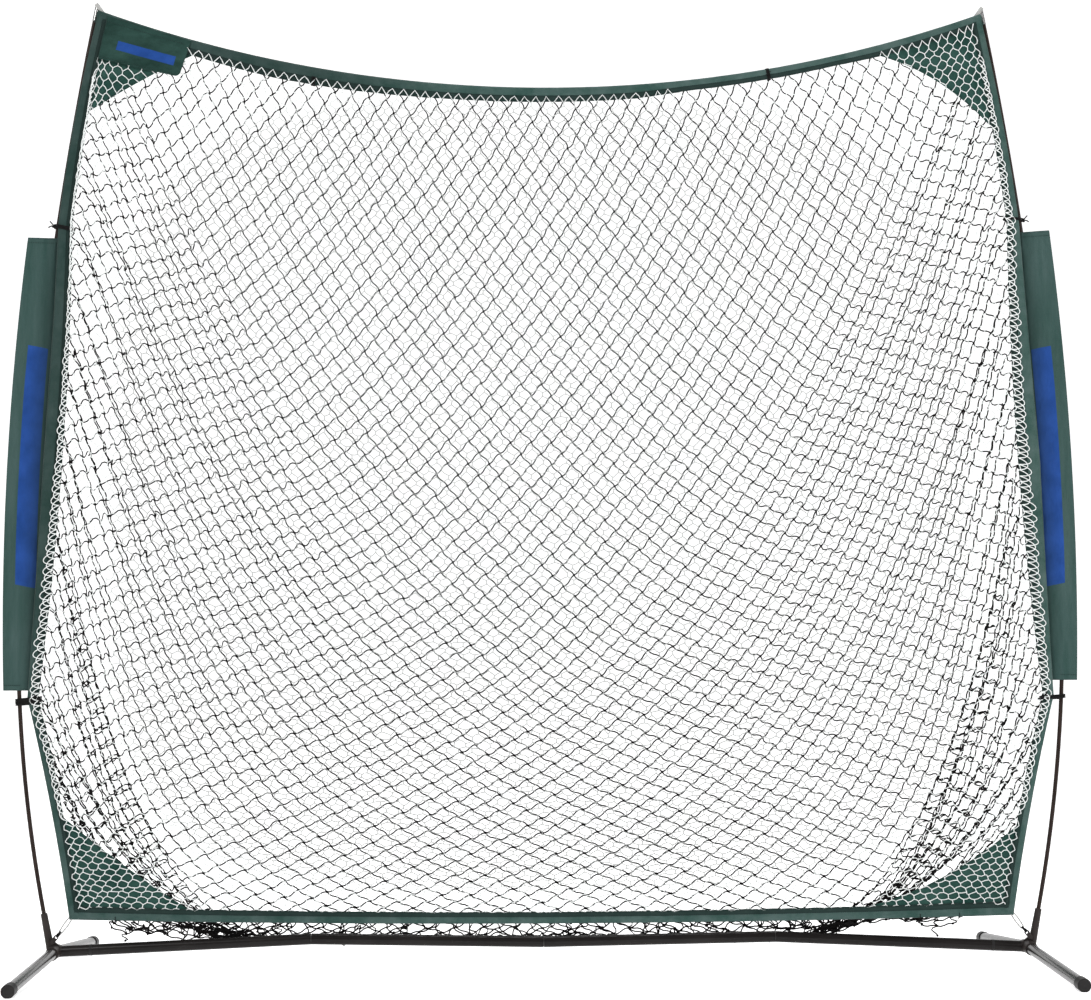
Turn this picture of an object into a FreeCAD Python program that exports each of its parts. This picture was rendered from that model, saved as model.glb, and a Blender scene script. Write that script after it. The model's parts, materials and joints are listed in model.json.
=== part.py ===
# Portable pitching net: a tube base on four legs, two bowed poles and a framed double net.
# Millimetres, +Z up, +X to the right and +Y to the rear as seen by the pitcher.
# The origin is on the floor, midway between the two hubs.

import FreeCAD, Part
import math
import os

Vec = FreeCAD.Vector

# Base: hubs, legs and the bar between the hubs
hub_spacing = 2211.0            # between the leg lines of the two hubs
hub_axis_height = 42.0          # leg and bar axes cross here
leg_reach = 485.0               # hub centre to the outer face of a leg cap
tube_diameter = 25.0            # one inch steel tube, legs and bar alike
tube_wall = 1.5
sleeve_diameter = 30.0          # hub sleeve round the legs
sleeve_length = 75.0            # over both ends
sleeve_web = 4.0                # wall that stops the two legs inside the sleeve
leg_stop_gap = 0.5              # leg end to that wall
leg_running_gap = 0.06          # radial, leg in hub sleeve
cap_diameter = 29.0
cap_cover = 28.0                # length of leg that a cap covers
cap_end = 4.0                   # thickness of a cap's closed end
cap_flat = 1.0                  # depth of the worn flat under a cap
cap_round = 2.0
seat_gap = 0.05                 # radial, pieces that push together and stay

bar_knee_offset = 527.0         # bar joint from the middle of the bar
bar_knee_height = 67.4          # the bar is hogged at these two joints
bar_middle_height = 58.5
bar_butt_gap = 0.5              # each tube end to the joint's middle, where the joint bends
stub_joint_offset = 1024.0      # joint between hub stub and bar, from the middle of the bar
stub_shoulder = 17.0            # leg line to the end face of the stub tube
joint_ring_width = 6.0
joint_ring_rise = 0.2           # ring stands proud of the tube
coupler_wall = 1.2
coupler_reach = 40.0            # coupler inside each tube
coupler_overrun = 4.0           # bent halves pass the bend before they are mitred
hub_spigot_length = 16.0        # hub peg inside the stub tube

# Snap button that locks a stub to the bar
button_diameter = 6.4
button_gap = 0.1
button_offset = 21.0            # from the joint, inside the stub
button_rise = 2.5               # above the tube's surface
button_travel = 4.2
button_round = 1.2
clip_thickness = 0.8
clip_width = 7.0
clip_arm = 20.0
clip_turn = 3.4                 # radius of the clip's bend
clip_tail = 4.0                 # clip beyond the button
clip_spread = 1.0               # the free arm ends this much further out

# Pole sockets on the hubs
socket_offset = 8.4             # pole axis outboard of the leg line, at axis height
socket_length = 87.0            # above the leg line, along the pole
socket_foot_diameter = 18.6
socket_mouth_diameter = 15.0
pole_gap = 0.1                  # radial, pole in its socket
pole_butt = 14.0                # pole end above the leg line
web_lap = 4.0                   # hub web goes into the socket
web_reach = 6.0                 # and past the stub shoulder
web_rise = 0.7                  # its height over the stub, in tube radii
lug_thickness = 6.0
lug_width = 10.0
lug_length = 19.0
lug_root_out = 4.5              # lug's root outboard of the leg line
lug_root_rise = 22.0            # and above it
lug_hole = 6.4
eye_gap = 0.1                   # between the cord and the holes' far sides

# Poles: four sections a side, each bent to one arc
pole_diameter = 9.5
pole_bore = 6.7
pole_straight_to = 130.0        # height where the bend starts
pole_joint_heights = [612.0, 1166.0, 1718.0, 2232.0]
pole_leans = [11.6, 3.5, -5.3, -7.4, -10.6]     # degrees outward, at the foot and at each height
ferrule_length = 70.0
ferrule_diameter = 6.3
ferrule_bore = 3.8
shock_cord_diameter = 2.6
tip_cover = 34.0                # length of pole inside the metal tip
tip_end = 7.0                   # solid end of the tip
tip_diameter = 10.6
tip_gap = 0.15
tip_round = 3.0

# Net frame: a flat fabric hem all round, in one plane in front of the poles
hem_width = 25.0
hem_thickness = 5.0
hem_back = -6.9                 # Y of the hem's rear face
hem_top_corner = (1040.0, 2222.0)
hem_top_dip = 2040.0            # height of the upper edge at the middle
hem_waist = (1117.0, 1716.0)    # tied to the pole here
hem_hip = (1176.0, 612.0)       # and here
hem_bottom_corner = (1072.0, 114.0)
hem_bottom_dip = 100.0
hem_top_bow = 6.0               # bow of each side edge, outward
hem_side_bow = -4.0
hem_side_fullness = 12.0        # side hems are this much wider halfway down
hem_low_bow = -6.0
top_mitre = (0.50, 0.87)        # line of each corner's seam, X and Z
low_mitre = (0.80, -0.60)
mitre_reach = 60.0

# Nets and corner patches
front_net_thickness = 3.0
front_net_setback = 1.0         # behind the hem's front face
front_mesh_width = 184.0
front_mesh_height = 196.0
front_strand = 4.0
front_mesh_start = 58.8         # height of the first row of gaps
smallest_gap_share = 0.06       # cut cells smaller than this are left solid
net_cover = (1300.0, 2300.0)    # half width and height that the cells cover
net_rim = 7.0                   # solid border rope of a net
patch_thickness = 0.8
patch_gap = 0.2
# Inner edge of each patch: ends and middle of an arc, then a point beyond the frame's corner
corner_patches = {
    "left_top_patch": ((-780.0, 2132.0), (-930.0, 2058.0), (-1085.0, 1962.0), (-1085.0, 2300.0)),
    "right_top_patch": ((735.0, 2134.0), (925.0, 2065.0), (1085.0, 1920.0), (1085.0, 2300.0)),
    "left_bottom_patch": ((-790.0, 105.0), (-965.0, 225.0), (-1118.0, 348.0), (-1118.0, 60.0)),
    "right_bottom_patch": ((620.0, 118.0), (875.0, 182.0), (1118.0, 345.0), (1118.0, 60.0)),
}
rear_net_thickness = 2.4
rear_net_gap = 0.15             # behind the hem
rear_net_lap = 8.0              # sewn behind the hem
rear_lap_offset = 3.2           # the turned-up lower edge stays this much further back
rear_strand = 4.0
rear_columns = 11               # gaps side by side
rear_straight_rows = 17         # half rows in the hanging part
rear_turn_rows = 8              # half rows in the sagging part
rear_rim_share = 0.012          # solid rim down each side, as a share of the half width
rear_top_rim = 0.008            # solid rim at the top and bottom, as shares of the way down
rear_bottom_rim = 0.012
gap_cutter_depth = 36.0
cell_size_limit = 300.0
pocket_depth = 165.0            # rear net behind the hem, at its deepest
pocket_bottom = 50.0            # lowest height of the sagging rear net
pocket_half_width = 930.0       # the sag runs out here
pocket_turn = 0.78              # share of the way down where the net turns forward
pocket_turn_height = 290.0
pocket_columns = [-1.0, -0.93, -0.8, -0.6, -0.3, 0.0, 0.3, 0.6, 0.8, 0.93, 1.0]
pocket_rows = [0.0, 0.08, 0.2, 0.35, 0.5, 0.65, 0.78, 0.81, 0.84, 0.87, 0.9, 0.93, 0.96, 0.98, 1.0]

# Side banners, flat sleeves round the poles
banner_bottom = 638.0
banner_top = 1686.0
banner_edge = [(1233.5, 638.0), (1237.0, 1066.0), (1196.0, 1686.0)]
banner_wall = 1.2
banner_pole_gap = 0.65
banner_edge_radius = 1.6
banner_hem_lap = 2.0            # how far the inner edge tucks in behind the hem
banner_hem_gap = 0.3
banner_steps = 8

# Label flap sewn along the top hem at the left corner
flap_length = 186.0
flap_left_height = 107.0
flap_right_height = 92.0
flap_left_lean = 0.11           # its sides lean this much along the top edge
flap_right_lean = 0.22
flap_thickness = 1.5
flap_gap = 0.4
flap_slope = 17.4               # degrees down to the right
flap_corner = (-1018.0, 2210.0)
flap_round = 12.0

# Straps, ties and cords
strap_width = 9.0
strap_thickness = 2.0
strap_tail = 6.0                # strap inside the hem's corner
strap_eye_spacing = 15.0        # between the holes of lug and strap
tie_heading = (-0.64, 0.768)    # from a lug to the net's corner, X and Z
cord_diameter = 3.0
knot_radius = 2.9
knot_half = 3.2                 # half length of the knot
knot_round = 1.0
tie_band = 1.3                  # thickness of a tie
tie_gap = 0.3
pole_tie_height = 6.0
pole_tie_lap = 3.0              # pole tie past the hem's inner edge
hip_tie_drop = 6.0              # lower pole tie under the hip
net_tie_width = 4.0
net_tie_room = 2.5              # behind the rear net
tie_clearance_gap = 0.6         # nets and patches stay this far off a tie
top_net_ties = [-535.0, 535.0]
bottom_net_ties = [-968.0, 858.0, 948.0]
loop_width = 9.0
loop_wall = 1.2
loop_length = 24.0
loop_lean = 36.0                # degrees from vertical, outward
loop_gap = 0.2                  # round the tip
loop_below_end = 4.0            # loop's turn under the tip's end

# Worked out from the sizes above
hub_x = hub_spacing / 2
tube_radius = tube_diameter / 2
tube_bore_radius = tube_radius - tube_wall
coupler_radius = tube_bore_radius - seat_gap
pole_radius = pole_diameter / 2
cap_radius = cap_diameter / 2
leg_drop = math.atan((hub_axis_height - (cap_radius - cap_flat)) / leg_reach)
hem_front = hem_back - hem_thickness
front_net_front = hem_front + front_net_setback
front_net_back = front_net_front + front_net_thickness
rear_net_front = hem_back + rear_net_gap
far = 3000.0


def save(shape, name):
    """Write one sub-part and say what it holds."""
    solids = shape.Solids
    volume = sum(solid.Volume for solid in solids)
    valid = all(solid.isValid() for solid in solids)
    print("%-22s solids %2d volume %11.1f valid %s" % (name, len(solids), volume, valid))
    shape.exportStep("parts/" + name + ".step")


def rod(start, end, radius):
    """Solid round bar between two points."""
    along = end - start
    return Part.makeCylinder(radius, along.Length, start, along)


def tube(start, end, outer, inner):
    """Hollow round bar between two points."""
    return rod(start, end, outer).cut(rod(start, end, inner))


def prism(points, low, high):
    """Flat outline in X and Z, given depth in Y."""
    corners = [Vec(x, low, z) for x, z in points]
    corners.append(corners[0])
    face = Part.Face(Part.makePolygon(corners))
    return face.extrude(Vec(0, high - low, 0))


def bar_line():
    """Hub, knee and middle of the bar's axis on the right side, as X and Z."""
    return [(hub_x, hub_axis_height), (bar_knee_offset, bar_knee_height), (0.0, bar_middle_height)]


def bar_direction():
    """Unit vector from the right hub along the bar, towards the middle."""
    hub, knee, middle = bar_line()
    along = Vec(knee[0] - hub[0], 0, knee[1] - hub[1])
    return along.normalize()


def bar_point(distance_out):
    """Point of the right outer bar line at this X."""
    along = bar_direction()
    run = (distance_out - hub_x) / along.x
    return Vec(hub_x, 0, hub_axis_height) + along * run


def flip(side, point):
    """Move a right hand point to the given side."""
    return Vec(side * point.x, point.y, point.z)


def flip_shape(side, shape):
    """Mirror a right hand shape for the left side."""
    if side > 0:
        return shape
    return shape.mirror(Vec(0, 0, 0), Vec(1, 0, 0))


def leg_direction(reach):
    """Unit vector along a leg; reach is -1 for a front leg and 1 for a rear leg."""
    return Vec(0, reach * math.cos(leg_drop), -math.sin(leg_drop))


# Pole centreline


def pole_arcs():
    """Start point, centre, radius and leans of each pole section's arc, right side."""
    lean = math.radians(pole_leans[0])
    rise = pole_straight_to - hub_axis_height
    x = hub_x + socket_offset + rise * math.tan(lean)
    z = pole_straight_to
    arcs = []
    for height, next_degrees in zip(pole_joint_heights, pole_leans[1:]):
        next_lean = math.radians(next_degrees)
        radius = (height - z) / (math.sin(lean) - math.sin(next_lean))
        centre = Vec(x - radius * math.cos(lean), 0, z + radius * math.sin(lean))
        arcs.append((Vec(x, 0, z), centre, radius, lean, next_lean))
        x = centre.x + radius * math.cos(next_lean)
        z = height
        lean = next_lean
    return arcs


def pole_at(height):
    """X of the right pole's axis at a height."""
    arcs = pole_arcs()
    if height <= pole_straight_to:
        lean = math.radians(pole_leans[0])
        return hub_x + socket_offset + (height - hub_axis_height) * math.tan(lean)
    for top, arc in zip(pole_joint_heights, arcs):
        if height <= top:
            break
    start, centre, radius, lean, next_lean = arc
    return centre.x + math.sqrt(radius ** 2 - (centre.z - height) ** 2)


def pole_axis():
    """Unit vector up the socket, right side."""
    lean = math.radians(pole_leans[0])
    return Vec(math.sin(lean), 0, math.cos(lean))


def pole_foot():
    """Point of the right pole's axis at the height of the leg line."""
    return Vec(hub_x + socket_offset, 0, hub_axis_height)


def pole_rod(index, radius):
    """One right pole section as a solid bar of the given radius."""
    start, centre, bend, lean, next_lean = pole_arcs()[index]
    tangent = Vec(math.sin(lean), 0, math.cos(lean))
    disc = Part.Face(Part.Wire(Part.makeCircle(radius, start, tangent)))
    bar = disc.revolve(centre, Vec(0, -1, 0), math.degrees(lean - next_lean))
    if index == 0:
        butt = pole_foot() + pole_axis() * pole_butt
        bar = bar.fuse(rod(butt, start, radius)).removeSplitter()
    return bar


def pole_end(index):
    """End point and tangent of a right pole section."""
    start, centre, bend, lean, next_lean = pole_arcs()[index]
    point = centre + Vec(math.cos(next_lean), 0, -math.sin(next_lean)) * bend
    return point, Vec(math.sin(next_lean), 0, math.cos(next_lean))


# Base


def make_hub(side):
    """Moulded hub: leg sleeve, bar peg, pole socket, web and strap lug."""
    centre = Vec(hub_x, 0, hub_axis_height)
    half = sleeve_length / 2
    sleeve_radius = sleeve_diameter / 2
    body = None
    for reach in (-1, 1):
        along = leg_direction(reach)
        half_sleeve = rod(centre - along * sleeve_web, centre + along * half, sleeve_radius)
        body = half_sleeve if body is None else body.fuse(half_sleeve)
    along = bar_direction()
    shoulder = centre + along * stub_shoulder
    body = body.fuse(rod(centre, shoulder, tube_radius))
    body = body.fuse(rod(centre, shoulder + along * hub_spigot_length, coupler_radius))
    foot = pole_foot()
    up = pole_axis()
    socket = Part.makeCone(socket_foot_diameter / 2, socket_mouth_diameter / 2, socket_length, foot, up)
    body = body.fuse(socket)
    web_top = foot + up * (sleeve_radius * 2)
    web_points = [
        (web_top.x - web_lap, web_top.z),
        (shoulder.x, shoulder.z + tube_radius * web_rise),
        (shoulder.x + web_reach, shoulder.z),
        (web_top.x, foot.z),
    ]
    body = body.fuse(prism(web_points, -lug_thickness / 2, lug_thickness / 2))
    body = body.fuse(make_lug())
    for reach in (-1, 1):
        along = leg_direction(reach)
        bore_start = centre + along * (sleeve_web / 2)
        bore_end = centre + along * sleeve_length
        body = body.cut(rod(bore_start, bore_end, tube_radius + leg_running_gap))
    seat = foot + up * pole_butt
    body = body.cut(rod(seat, foot + up * (socket_length + 1), pole_radius + pole_gap))
    return flip_shape(side, body.removeSplitter())


def tie_direction():
    """Unit vector from the hub lug to the bottom corner of the net, right side."""
    return Vec(tie_heading[0], 0, tie_heading[1]).normalize()


def tie_plane():
    """Y of the strap, lug and corner of the hem."""
    return hem_back - hem_thickness / 2


def lug_eye():
    """Centre of the lug's hole on the right hub."""
    root = Vec(hub_x + lug_root_out, tie_plane(), hub_axis_height + lug_root_rise)
    return root + tie_direction() * (lug_length - lug_width / 2)


def strap_eye():
    """Centre of the strap's hole on the right side."""
    return lug_eye() + tie_direction() * strap_eye_spacing


def lying_bar(start, end, width, thickness):
    """Flat bar with round ends, flat side facing the pitcher."""
    along = (end - start).normalize()
    across = Vec(along.z, 0, -along.x) * (width / 2)
    depth = Vec(0, thickness / 2, 0)
    corners = [start + across, end + across, end - across, start - across]
    outline = [(corner.x, corner.z) for corner in corners]
    body = prism(outline, start.y - thickness / 2, start.y + thickness / 2)
    for centre in (start, end):
        body = body.fuse(rod(centre - depth, centre + depth, width / 2))
    return body


def make_lug():
    """Ear of the hub that holds the corner cord, with its hole."""
    eye = lug_eye()
    root = eye - tie_direction() * (lug_length - lug_width / 2)
    ear = lying_bar(root, eye, lug_width, lug_thickness)
    reach = Vec(0, lug_thickness, 0)
    return ear.cut(rod(eye - reach, eye + reach, lug_hole / 2))


def make_leg(side, reach):
    """Leg tube, from the web inside the sleeve to the inside of its cap."""
    centre = Vec(side * hub_x, 0, hub_axis_height)
    along = leg_direction(reach)
    start = centre + along * (sleeve_web / 2 + leg_stop_gap)
    end = centre + along * (leg_reach - cap_end)
    return tube(start, end, tube_radius, tube_bore_radius)


def make_cap(side, reach):
    """Push-on cap with a rounded end and a small flat on the floor."""
    centre = Vec(side * hub_x, 0, hub_axis_height)
    along = leg_direction(reach)
    outer_face = centre + along * leg_reach
    inner_face = centre + along * (leg_reach - cap_end - cap_cover)
    body = rod(inner_face, outer_face, cap_radius)
    rims = []
    for edge in body.Edges:
        if edge.Closed and (edge.CenterOfMass - outer_face).Length < 1.0:
            rims.append(edge)
    body = body.makeFillet(cap_round, rims)
    body = body.cut(rod(inner_face - along, outer_face - along * cap_end, tube_radius + seat_gap))
    below = Part.makeBox(far, far, far, Vec(-far / 2, -far / 2, -far))
    return body.cut(below)


def make_stub(side):
    """Short tube on the hub peg, with the hole for the snap button at the rear."""
    along = bar_direction()
    hub_end = Vec(hub_x, 0, hub_axis_height) + along * stub_shoulder
    joint_end = bar_point(stub_joint_offset) - along * (joint_ring_width / 2)
    body = tube(hub_end, joint_end, tube_radius, tube_bore_radius)
    return flip_shape(side, body.cut(button_hole()))


def button_centre():
    """Point of the bar's axis behind which the right snap button sits."""
    return bar_point(stub_joint_offset) - bar_direction() * button_offset


def button_hole():
    """Bore for the snap button, through the rear wall of stub and coupler."""
    centre = button_centre()
    return rod(centre, centre + Vec(0, tube_diameter, 0), button_diameter / 2 + button_gap)


def make_stub_coupler(side):
    """Inner tube fixed in the bar and pushed into the stub."""
    along = bar_direction()
    joint = bar_point(stub_joint_offset)
    inner = coupler_radius - coupler_wall
    body = tube(joint - along * coupler_reach, joint + along * coupler_reach, coupler_radius, inner)
    return flip_shape(side, body.cut(button_hole()))


def make_joint_ring(side):
    """Plastic spacer ring between stub and bar."""
    along = bar_direction() * (joint_ring_width / 2)
    joint = bar_point(stub_joint_offset)
    body = tube(joint - along, joint + along, tube_radius + joint_ring_rise, coupler_radius + seat_gap)
    return flip_shape(side, body)


def make_button(side):
    """Snap button riveted on a bent spring clip."""
    centre = button_centre()
    along = bar_direction()
    away = along * -1
    wall = coupler_radius - coupler_wall - seat_gap
    foot_y = math.sqrt(wall ** 2 - (clip_width / 2) ** 2) - clip_thickness / 2
    base = centre + Vec(0, foot_y, 0)
    tip = centre + Vec(0, tube_radius + button_rise, 0)
    pin = rod(base, tip, button_diameter / 2)
    rims = []
    for edge in pin.Edges:
        if edge.Closed and (edge.CenterOfMass - tip).Length < 1.0:
            rims.append(edge)
    pin = pin.makeFillet(button_round, rims)
    half = clip_thickness / 2
    outer_turn = clip_turn + half
    inner_turn = clip_turn - half
    turn_y = foot_y - clip_turn
    lift = Vec(0, 0, clip_width / 2)
    end_y = turn_y - clip_turn - clip_spread

    def spot(run, y):
        return centre + away * run + Vec(0, y, 0) - lift

    outer = Part.makePolygon([spot(-clip_tail, foot_y + half), spot(clip_arm, foot_y + half)])
    bend_out = Part.Arc(
        spot(clip_arm, foot_y + half),
        spot(clip_arm + outer_turn, turn_y),
        spot(clip_arm, turn_y - outer_turn),
    ).toShape()
    back_out = Part.makePolygon([
        spot(clip_arm, turn_y - outer_turn),
        spot(0, end_y - half),
        spot(0, end_y + half),
        spot(clip_arm, turn_y - inner_turn),
    ])
    bend_in = Part.Arc(
        spot(clip_arm, turn_y - inner_turn),
        spot(clip_arm + inner_turn, turn_y),
        spot(clip_arm, foot_y - half),
    ).toShape()
    inner = Part.makePolygon([
        spot(clip_arm, foot_y - half),
        spot(-clip_tail, foot_y - half),
        spot(-clip_tail, foot_y + half),
    ])
    edges = outer.Edges + [bend_out] + back_out.Edges + [bend_in] + inner.Edges
    face = Part.Face(Part.Wire(Part.__sortEdges__(edges)))
    strip = face.extrude(lift * 2)
    return flip_shape(side, pin.fuse(strip).removeSplitter())


def make_outer_bar(side):
    """Bar section from the joint ring to the knee."""
    along = bar_direction()
    start = bar_point(stub_joint_offset) + along * (joint_ring_width / 2)
    end = bar_point(bar_knee_offset) - along * bar_butt_gap
    return flip_shape(side, tube(start, end, tube_radius, tube_bore_radius))


def make_inner_bar(side):
    """Bar section from the knee to the middle."""
    hub, knee, middle = bar_line()
    start = Vec(knee[0], 0, knee[1])
    end = Vec(middle[0], 0, middle[1])
    along = (end - start).normalize() * bar_butt_gap
    return flip_shape(side, tube(start + along, end - along, tube_radius, tube_bore_radius))


def bent_coupler(joint, ways):
    """Inner tube that follows both tube ends at a bent joint, its halves mitred at the bend."""
    inner = coupler_radius - coupler_wall
    split = (ways[0] - ways[1]).normalize()
    body = None
    for way, normal in zip(ways, (split, split * -1)):
        half = tube(joint - way * coupler_overrun, joint + way * coupler_reach, coupler_radius, inner)
        disc = Part.Face(Part.Wire(Part.makeCircle(tube_diameter, joint, normal)))
        half = half.common(disc.extrude(normal * (2 * coupler_reach)))
        body = half if body is None else body.fuse(half)
    return body


def make_knee_coupler(side):
    """Coupler at the knee of the bar."""
    hub, knee, middle = bar_line()
    joint = Vec(knee[0], 0, knee[1])
    inward = Vec(middle[0] - knee[0], 0, middle[1] - knee[1]).normalize()
    return flip_shape(side, bent_coupler(joint, [bar_direction() * -1, inward]))


def make_middle_coupler():
    """Coupler at the middle of the bar."""
    hub, knee, middle = bar_line()
    joint = Vec(middle[0], 0, middle[1])
    ways = []
    for side in (-1, 1):
        ways.append(Vec(side * (knee[0] - middle[0]), 0, knee[1] - middle[1]).normalize())
    return bent_coupler(joint, ways)


# Poles


def make_pole_section(side, index):
    """One hollow fibreglass section."""
    body = pole_rod(index, pole_radius).cut(pole_rod(index, pole_bore / 2))
    return flip_shape(side, body)


def make_ferrules(side):
    """The three inner pins that join a pole's sections, as separate solids."""
    pins = []
    for index in range(len(pole_joint_heights) - 1):
        point, tangent = pole_end(index)
        half = tangent * (ferrule_length / 2)
        pin = tube(point - half, point + half, ferrule_diameter / 2, ferrule_bore / 2)
        pins.append(flip_shape(side, pin))
    return Part.makeCompound(pins)


def make_shock_cord(side):
    """Elastic cord through all sections of a pole."""
    cord = None
    for index in range(len(pole_joint_heights)):
        piece = pole_rod(index, shock_cord_diameter / 2)
        cord = piece if cord is None else cord.fuse(piece)
    return flip_shape(side, cord.removeSplitter())


def make_tip(side):
    """Metal end of a pole, closed and rounded."""
    point, tangent = pole_end(len(pole_joint_heights) - 1)
    low = point - tangent * tip_cover
    high = point + tangent * tip_end
    body = rod(low, high, tip_diameter / 2)
    rims = []
    for edge in body.Edges:
        if edge.Closed and (edge.CenterOfMass - high).Length < 1.0:
            rims.append(edge)
    body = body.makeFillet(tip_round, rims)
    body = body.cut(rod(low - tangent, point, pole_radius + tip_gap))
    return flip_shape(side, body)


# Net frame


def bowed(start, end, bow):
    """Arc between two outline points, its middle moved outward by bow; X and Z pairs."""
    along = Vec(end[0] - start[0], 0, end[1] - start[1])
    outward = Vec(along.z, 0, -along.x).normalize()
    if outward.x < 0:
        outward = outward * -1
    middle = Vec((start[0] + end[0]) / 2, 0, (start[1] + end[1]) / 2) + outward * bow
    return Vec(start[0], 0, start[1]), middle, Vec(end[0], 0, end[1])


def outline_arcs():
    """The frame's outer edge as arcs, each a start, a middle and an end point."""
    right = [
        bowed(hem_top_corner, hem_waist, hem_top_bow),
        bowed(hem_waist, hem_hip, hem_side_bow),
        bowed(hem_hip, hem_bottom_corner, hem_low_bow),
    ]
    bottom_left = Vec(-hem_bottom_corner[0], 0, hem_bottom_corner[1])
    bottom_right = Vec(hem_bottom_corner[0], 0, hem_bottom_corner[1])
    top_left = Vec(-hem_top_corner[0], 0, hem_top_corner[1])
    top_right = Vec(hem_top_corner[0], 0, hem_top_corner[1])
    arcs = list(right)
    arcs.append((bottom_right, Vec(0, 0, hem_bottom_dip), bottom_left))
    for start, middle, end in reversed(right):
        arcs.append((flip(-1, end), flip(-1, middle), flip(-1, start)))
    arcs.append((top_left, Vec(0, 0, hem_top_dip), top_right))
    return arcs


def outline_face(inset):
    """Face inside the frame's outer edge, drawn in by an amount, at Y zero."""
    edges = [Part.Arc(*arc).toShape() for arc in outline_arcs()]
    wire = Part.Wire(edges)
    face = Part.Face(wire)
    if inset > 0:
        face = face.makeOffset2D(-inset, 2)
        if face.ShapeType == "Wire":
            face = Part.Face(face)
    return face


def outline_slab(inset, low, high):
    """Solid inside the frame's outline between two depths."""
    face = outline_face(inset)
    face.translate(Vec(0, low, 0))
    return face.extrude(Vec(0, high - low, 0))


def side_fullness(side, inset, low, high):
    """Solid that holds all beyond the wide middle of a side hem's inner edge, which moves in by inset."""
    start = (hem_waist[0] - hem_width + 1 - inset, hem_waist[1])
    end = (hem_hip[0] - hem_width + 1 - inset, hem_hip[1])
    start, middle, end = bowed(start, end, hem_side_bow - hem_side_fullness)
    reach = Vec(3 * hem_width, 0, 0)
    edges = [
        Part.Arc(start, middle, end).toShape(),
        Part.makeLine(end, end + reach),
        Part.makeLine(end + reach, start + reach),
        Part.makeLine(start + reach, start),
    ]
    face = Part.Face(Part.Wire(edges))
    face.translate(Vec(0, low, 0))
    return flip_shape(side, face.extrude(Vec(0, high - low, 0)))


def make_hems():
    """Top, bottom, left and right hems, mitred at the corners."""
    whole = outline_slab(0, hem_front, hem_back)
    ring = whole.cut(outline_slab(hem_width, hem_front - 1, hem_back + 1))
    for side in (-1, 1):
        ring = ring.fuse(whole.common(side_fullness(side, 0, hem_front - 1, hem_back + 1)))
    ring = ring.removeSplitter()
    top_x, top_z = hem_top_corner
    low_x, low_z = hem_bottom_corner
    top_in, top_down = top_mitre[0] * mitre_reach, top_mitre[1] * mitre_reach
    low_in, low_down = low_mitre[0] * mitre_reach, low_mitre[1] * mitre_reach
    top_points = [
        (-top_x - top_in, top_z + top_down),
        (top_x + top_in, top_z + top_down),
        (top_x - top_in, top_z - top_down),
        (0.0, hem_waist[1]),
        (-top_x + top_in, top_z - top_down),
    ]
    low_points = [
        (-low_x - low_in, low_z + low_down),
        (low_x + low_in, low_z + low_down),
        (low_x - low_in, low_z - low_down),
        (0.0, hem_hip[1]),
        (-low_x + low_in, low_z - low_down),
    ]
    top_zone = prism(top_points, hem_front - 1, hem_back + 1)
    low_zone = prism(low_points, hem_front - 1, hem_back + 1)
    top = ring.common(top_zone)
    low = ring.common(low_zone)
    sides = ring.cut(top_zone).cut(low_zone)
    left = [solid for solid in sides.Solids if solid.CenterOfMass.x < 0]
    right = [solid for solid in sides.Solids if solid.CenterOfMass.x > 0]
    return {"top_hem": top, "bottom_hem": low, "left_hem": left[0], "right_hem": right[0]}


def diamonds(width, height, strand, low, high):
    """Staggered diamond prisms that cover the frame, smaller than their cells by a strand."""
    half_w = width / 2
    half_h = height / 2
    reach = half_w * half_h / math.hypot(half_w, half_h)
    shrink = (reach - strand / 2) / reach
    cells = []
    columns = int(net_cover[0] / half_w) + 1
    rows = int(net_cover[1] / half_h) + 1
    for row in range(rows):
        for column in range(-columns, columns + 1):
            if (row + column) % 2:
                continue
            x = column * half_w
            z = row * half_h + front_mesh_start
            points = [
                (x - half_w * shrink, z),
                (x, z + half_h * shrink),
                (x + half_w * shrink, z),
                (x, z - half_h * shrink),
            ]
            cells.append(prism(points, low, high))
    return cells


def clipped_cells(cells, zone):
    """Cells cut to a zone, small scraps left out."""
    kept = []
    for cell in cells:
        part = cell.common(zone)
        for solid in part.Solids:
            if solid.Volume > smallest_gap_share * cell.Volume:
                kept.append(solid)
    return kept


def make_front_net(clearances):
    """White front net: one flat panel with its gaps, held all round in the hem."""
    panel = outline_slab(hem_width, front_net_front, front_net_back)
    low = front_net_front - 1
    high = front_net_back + 1
    zone = outline_slab(hem_width + net_rim, low, high)
    for side in (-1, 1):
        panel = panel.cut(side_fullness(side, 0, low, high))
        zone = zone.cut(side_fullness(side, net_rim, low, high))
    cells = diamonds(front_mesh_width, front_mesh_height, front_strand, low, high)
    kept = clipped_cells(cells, zone)
    print("front net gaps", len(kept))
    panel = panel.cut(kept)
    for clearance in clearances:
        panel = panel.cut(clearance)
    return panel


def make_patch(first, curve, last, corner, clearances):
    """Corner patch behind the front net: the frame's corner up to an arc through three points."""
    front = front_net_back + patch_gap
    slab = outline_slab(hem_width, front, front + patch_thickness)
    points = [Vec(x, front - 1, z) for x, z in (first, curve, last, corner)]
    edges = [
        Part.Arc(points[0], points[1], points[2]).toShape(),
        Part.makeLine(points[2], points[3]),
        Part.makeLine(points[3], points[0]),
    ]
    zone = Part.Face(Part.Wire(edges)).extrude(Vec(0, patch_thickness + 2, 0))
    patch = slab.common(zone)
    for clearance in clearances:
        patch = patch.cut(clearance)
    return patch


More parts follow.
